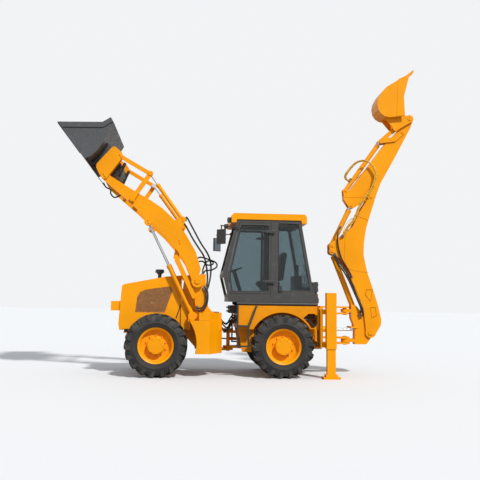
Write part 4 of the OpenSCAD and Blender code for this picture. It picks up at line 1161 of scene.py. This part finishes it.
# name, outline in the side view, faces from the centreline, finish, body, softened edge
SIDE_PLATES = [
    ("door_hinge_0", [(x, 2752 + z) for x, z in HINGE_CAP], 701, 742, black_plastic, "door_", 8),
    ("door_hinge_1", [(x, 1791 + z) for x, z in HINGE_CAP], 701, 742, black_plastic, "door_", 8),
    ("window_catch", [(-1110, 1600), (-1113, 1726), (-1148, 1732), (-1176, 1700), (-1178, 1606)], 699, 724,
     black_plastic, "rear", 6),
    ("rear_lamp_box", [(-1766, 1602), (-1772, 1798), (-1872, 1806), (-1882, 1792), (-1882, 1612),
                       (-1872, 1600)], 596, 690, black_plastic, "rear", 7),
    ("rear_lamp_stand", [(-1822, 1606), (-1866, 1606), (-1866, 1520), (-1822, 1584)], 630, 655,
     black_plastic, "rear", 3),
    ("hood_strip", [(757, 1337), (843, 1078), (823, 1072), (739, 1331)], 439, 447, black_rubber, "hood", 2),
    ("hoe_cutter", [(HOE_PIN[0] + x, HOE_PIN[1] + z) for x, z in CUTTER], 239, 246, paint, "hoe_bucket", 3),
    # The inner guard wears the darker copy of the yellow: painted shade for the plate seen behind the rear
    # tyre.
    ("inner_guard", [(-1690, 1326), (-1690, 1040), (-700, 1040), (-700, 1326)], 446, 452, frame_painted_shade,
     "rear", 1),
]


def side_plates(out, side):
    for name, outline, y_in, y_out, material, body, edge in SIDE_PLATES:
        carrier = body + side if body.endswith("_") else body
        plate("%s_%s" % (name, side), outline, out * y_in, out * y_out, material, carrier, edge)


both_sides(side_plates)

# %% [markdown]
# Each rear lamp box holds a red and an amber lens, five bolts hold the cab on its sill,
# and the loader bucket gets the parts that wear: a second edge under the lip and a row of
# bolts behind it.

# %% Lenses, sill bolts and the bucket's edge
SILL_BOLTS = (-420, -760, -1100, -1440, -1780)
EDGE_BOLTS = (-940, -640, -320, 0, 320, 640, 940)


def lenses_and_sill(out, side):
    for lens, z in ((red_lens, 1656), (amber_lens, 1748)):
        turned_part("rear_lens_%s_%d" % (side, z), at(-1881, out * 643, z), (-1, 0, 0),
                    [(32, -3), (32, 5), (24, 11), (5, 13)], lens, "rear", 24)
    sill = [at(x, out * 661, 1367) for x in SILL_BOLTS]
    bolts("cab_sill_bolts_" + side, sill, (0, out, 0), bolt_steel, "rear")


both_sides(lenses_and_sill)
edge = [on_bucket(*p) for p in [(1085, -122), (1092, -134), (1262, -134), (1290, -125), (1288, -122)]]
plate("bucket_edge", edge, -988, 988, dark_iron, "hitch", 2)
down = turned((0, -1), BUCKET_ANGLE)
bolt_x, bolt_z = on_bucket(1200, -123)
edge_row = [at(bolt_x, y, bolt_z) for y in EDGE_BOLTS]
bolts("bucket_bolts", edge_row, (down[0], 0, down[1]), bolt_steel, "hitch", 14, 8, 20, 3)

# %% [markdown]
# Between the coupler's cheeks sits the dark lock that holds the bucket on, with a small
# cylinder on either side of its middle. Behind the frame's hinge the valve bank gets two
# rows of stubs.

# %% Coupler lock and valve bank
LOCK = [(-15, 70), (-95, 120), (-118, 200), (-62, 320), (20, 392), (66, 392), (52, 60)]
plate("coupler_lock", [on_bucket(*p) for p in LOCK], -560, 560, dark_iron, "hitch", 8)
for k, y in enumerate((-420, 420)):
    path = [at(x, y, z) for x, z in (on_bucket(-120, 210), on_bucket(30, 470))]
    cylinder = swept("lock_cylinder_%d" % k, path, 0.030, 16)
    finished(cylinder.name, cylinder, dark_iron, "hitch")
STUBS = [at(-200, y, z) for y in range(-250, 251, 62) for z in (1215, 1290)]
bolts("valve_stubs", STUBS, (1, 0, 0), bolt_steel, "rear", 15, 26, 20, 8)
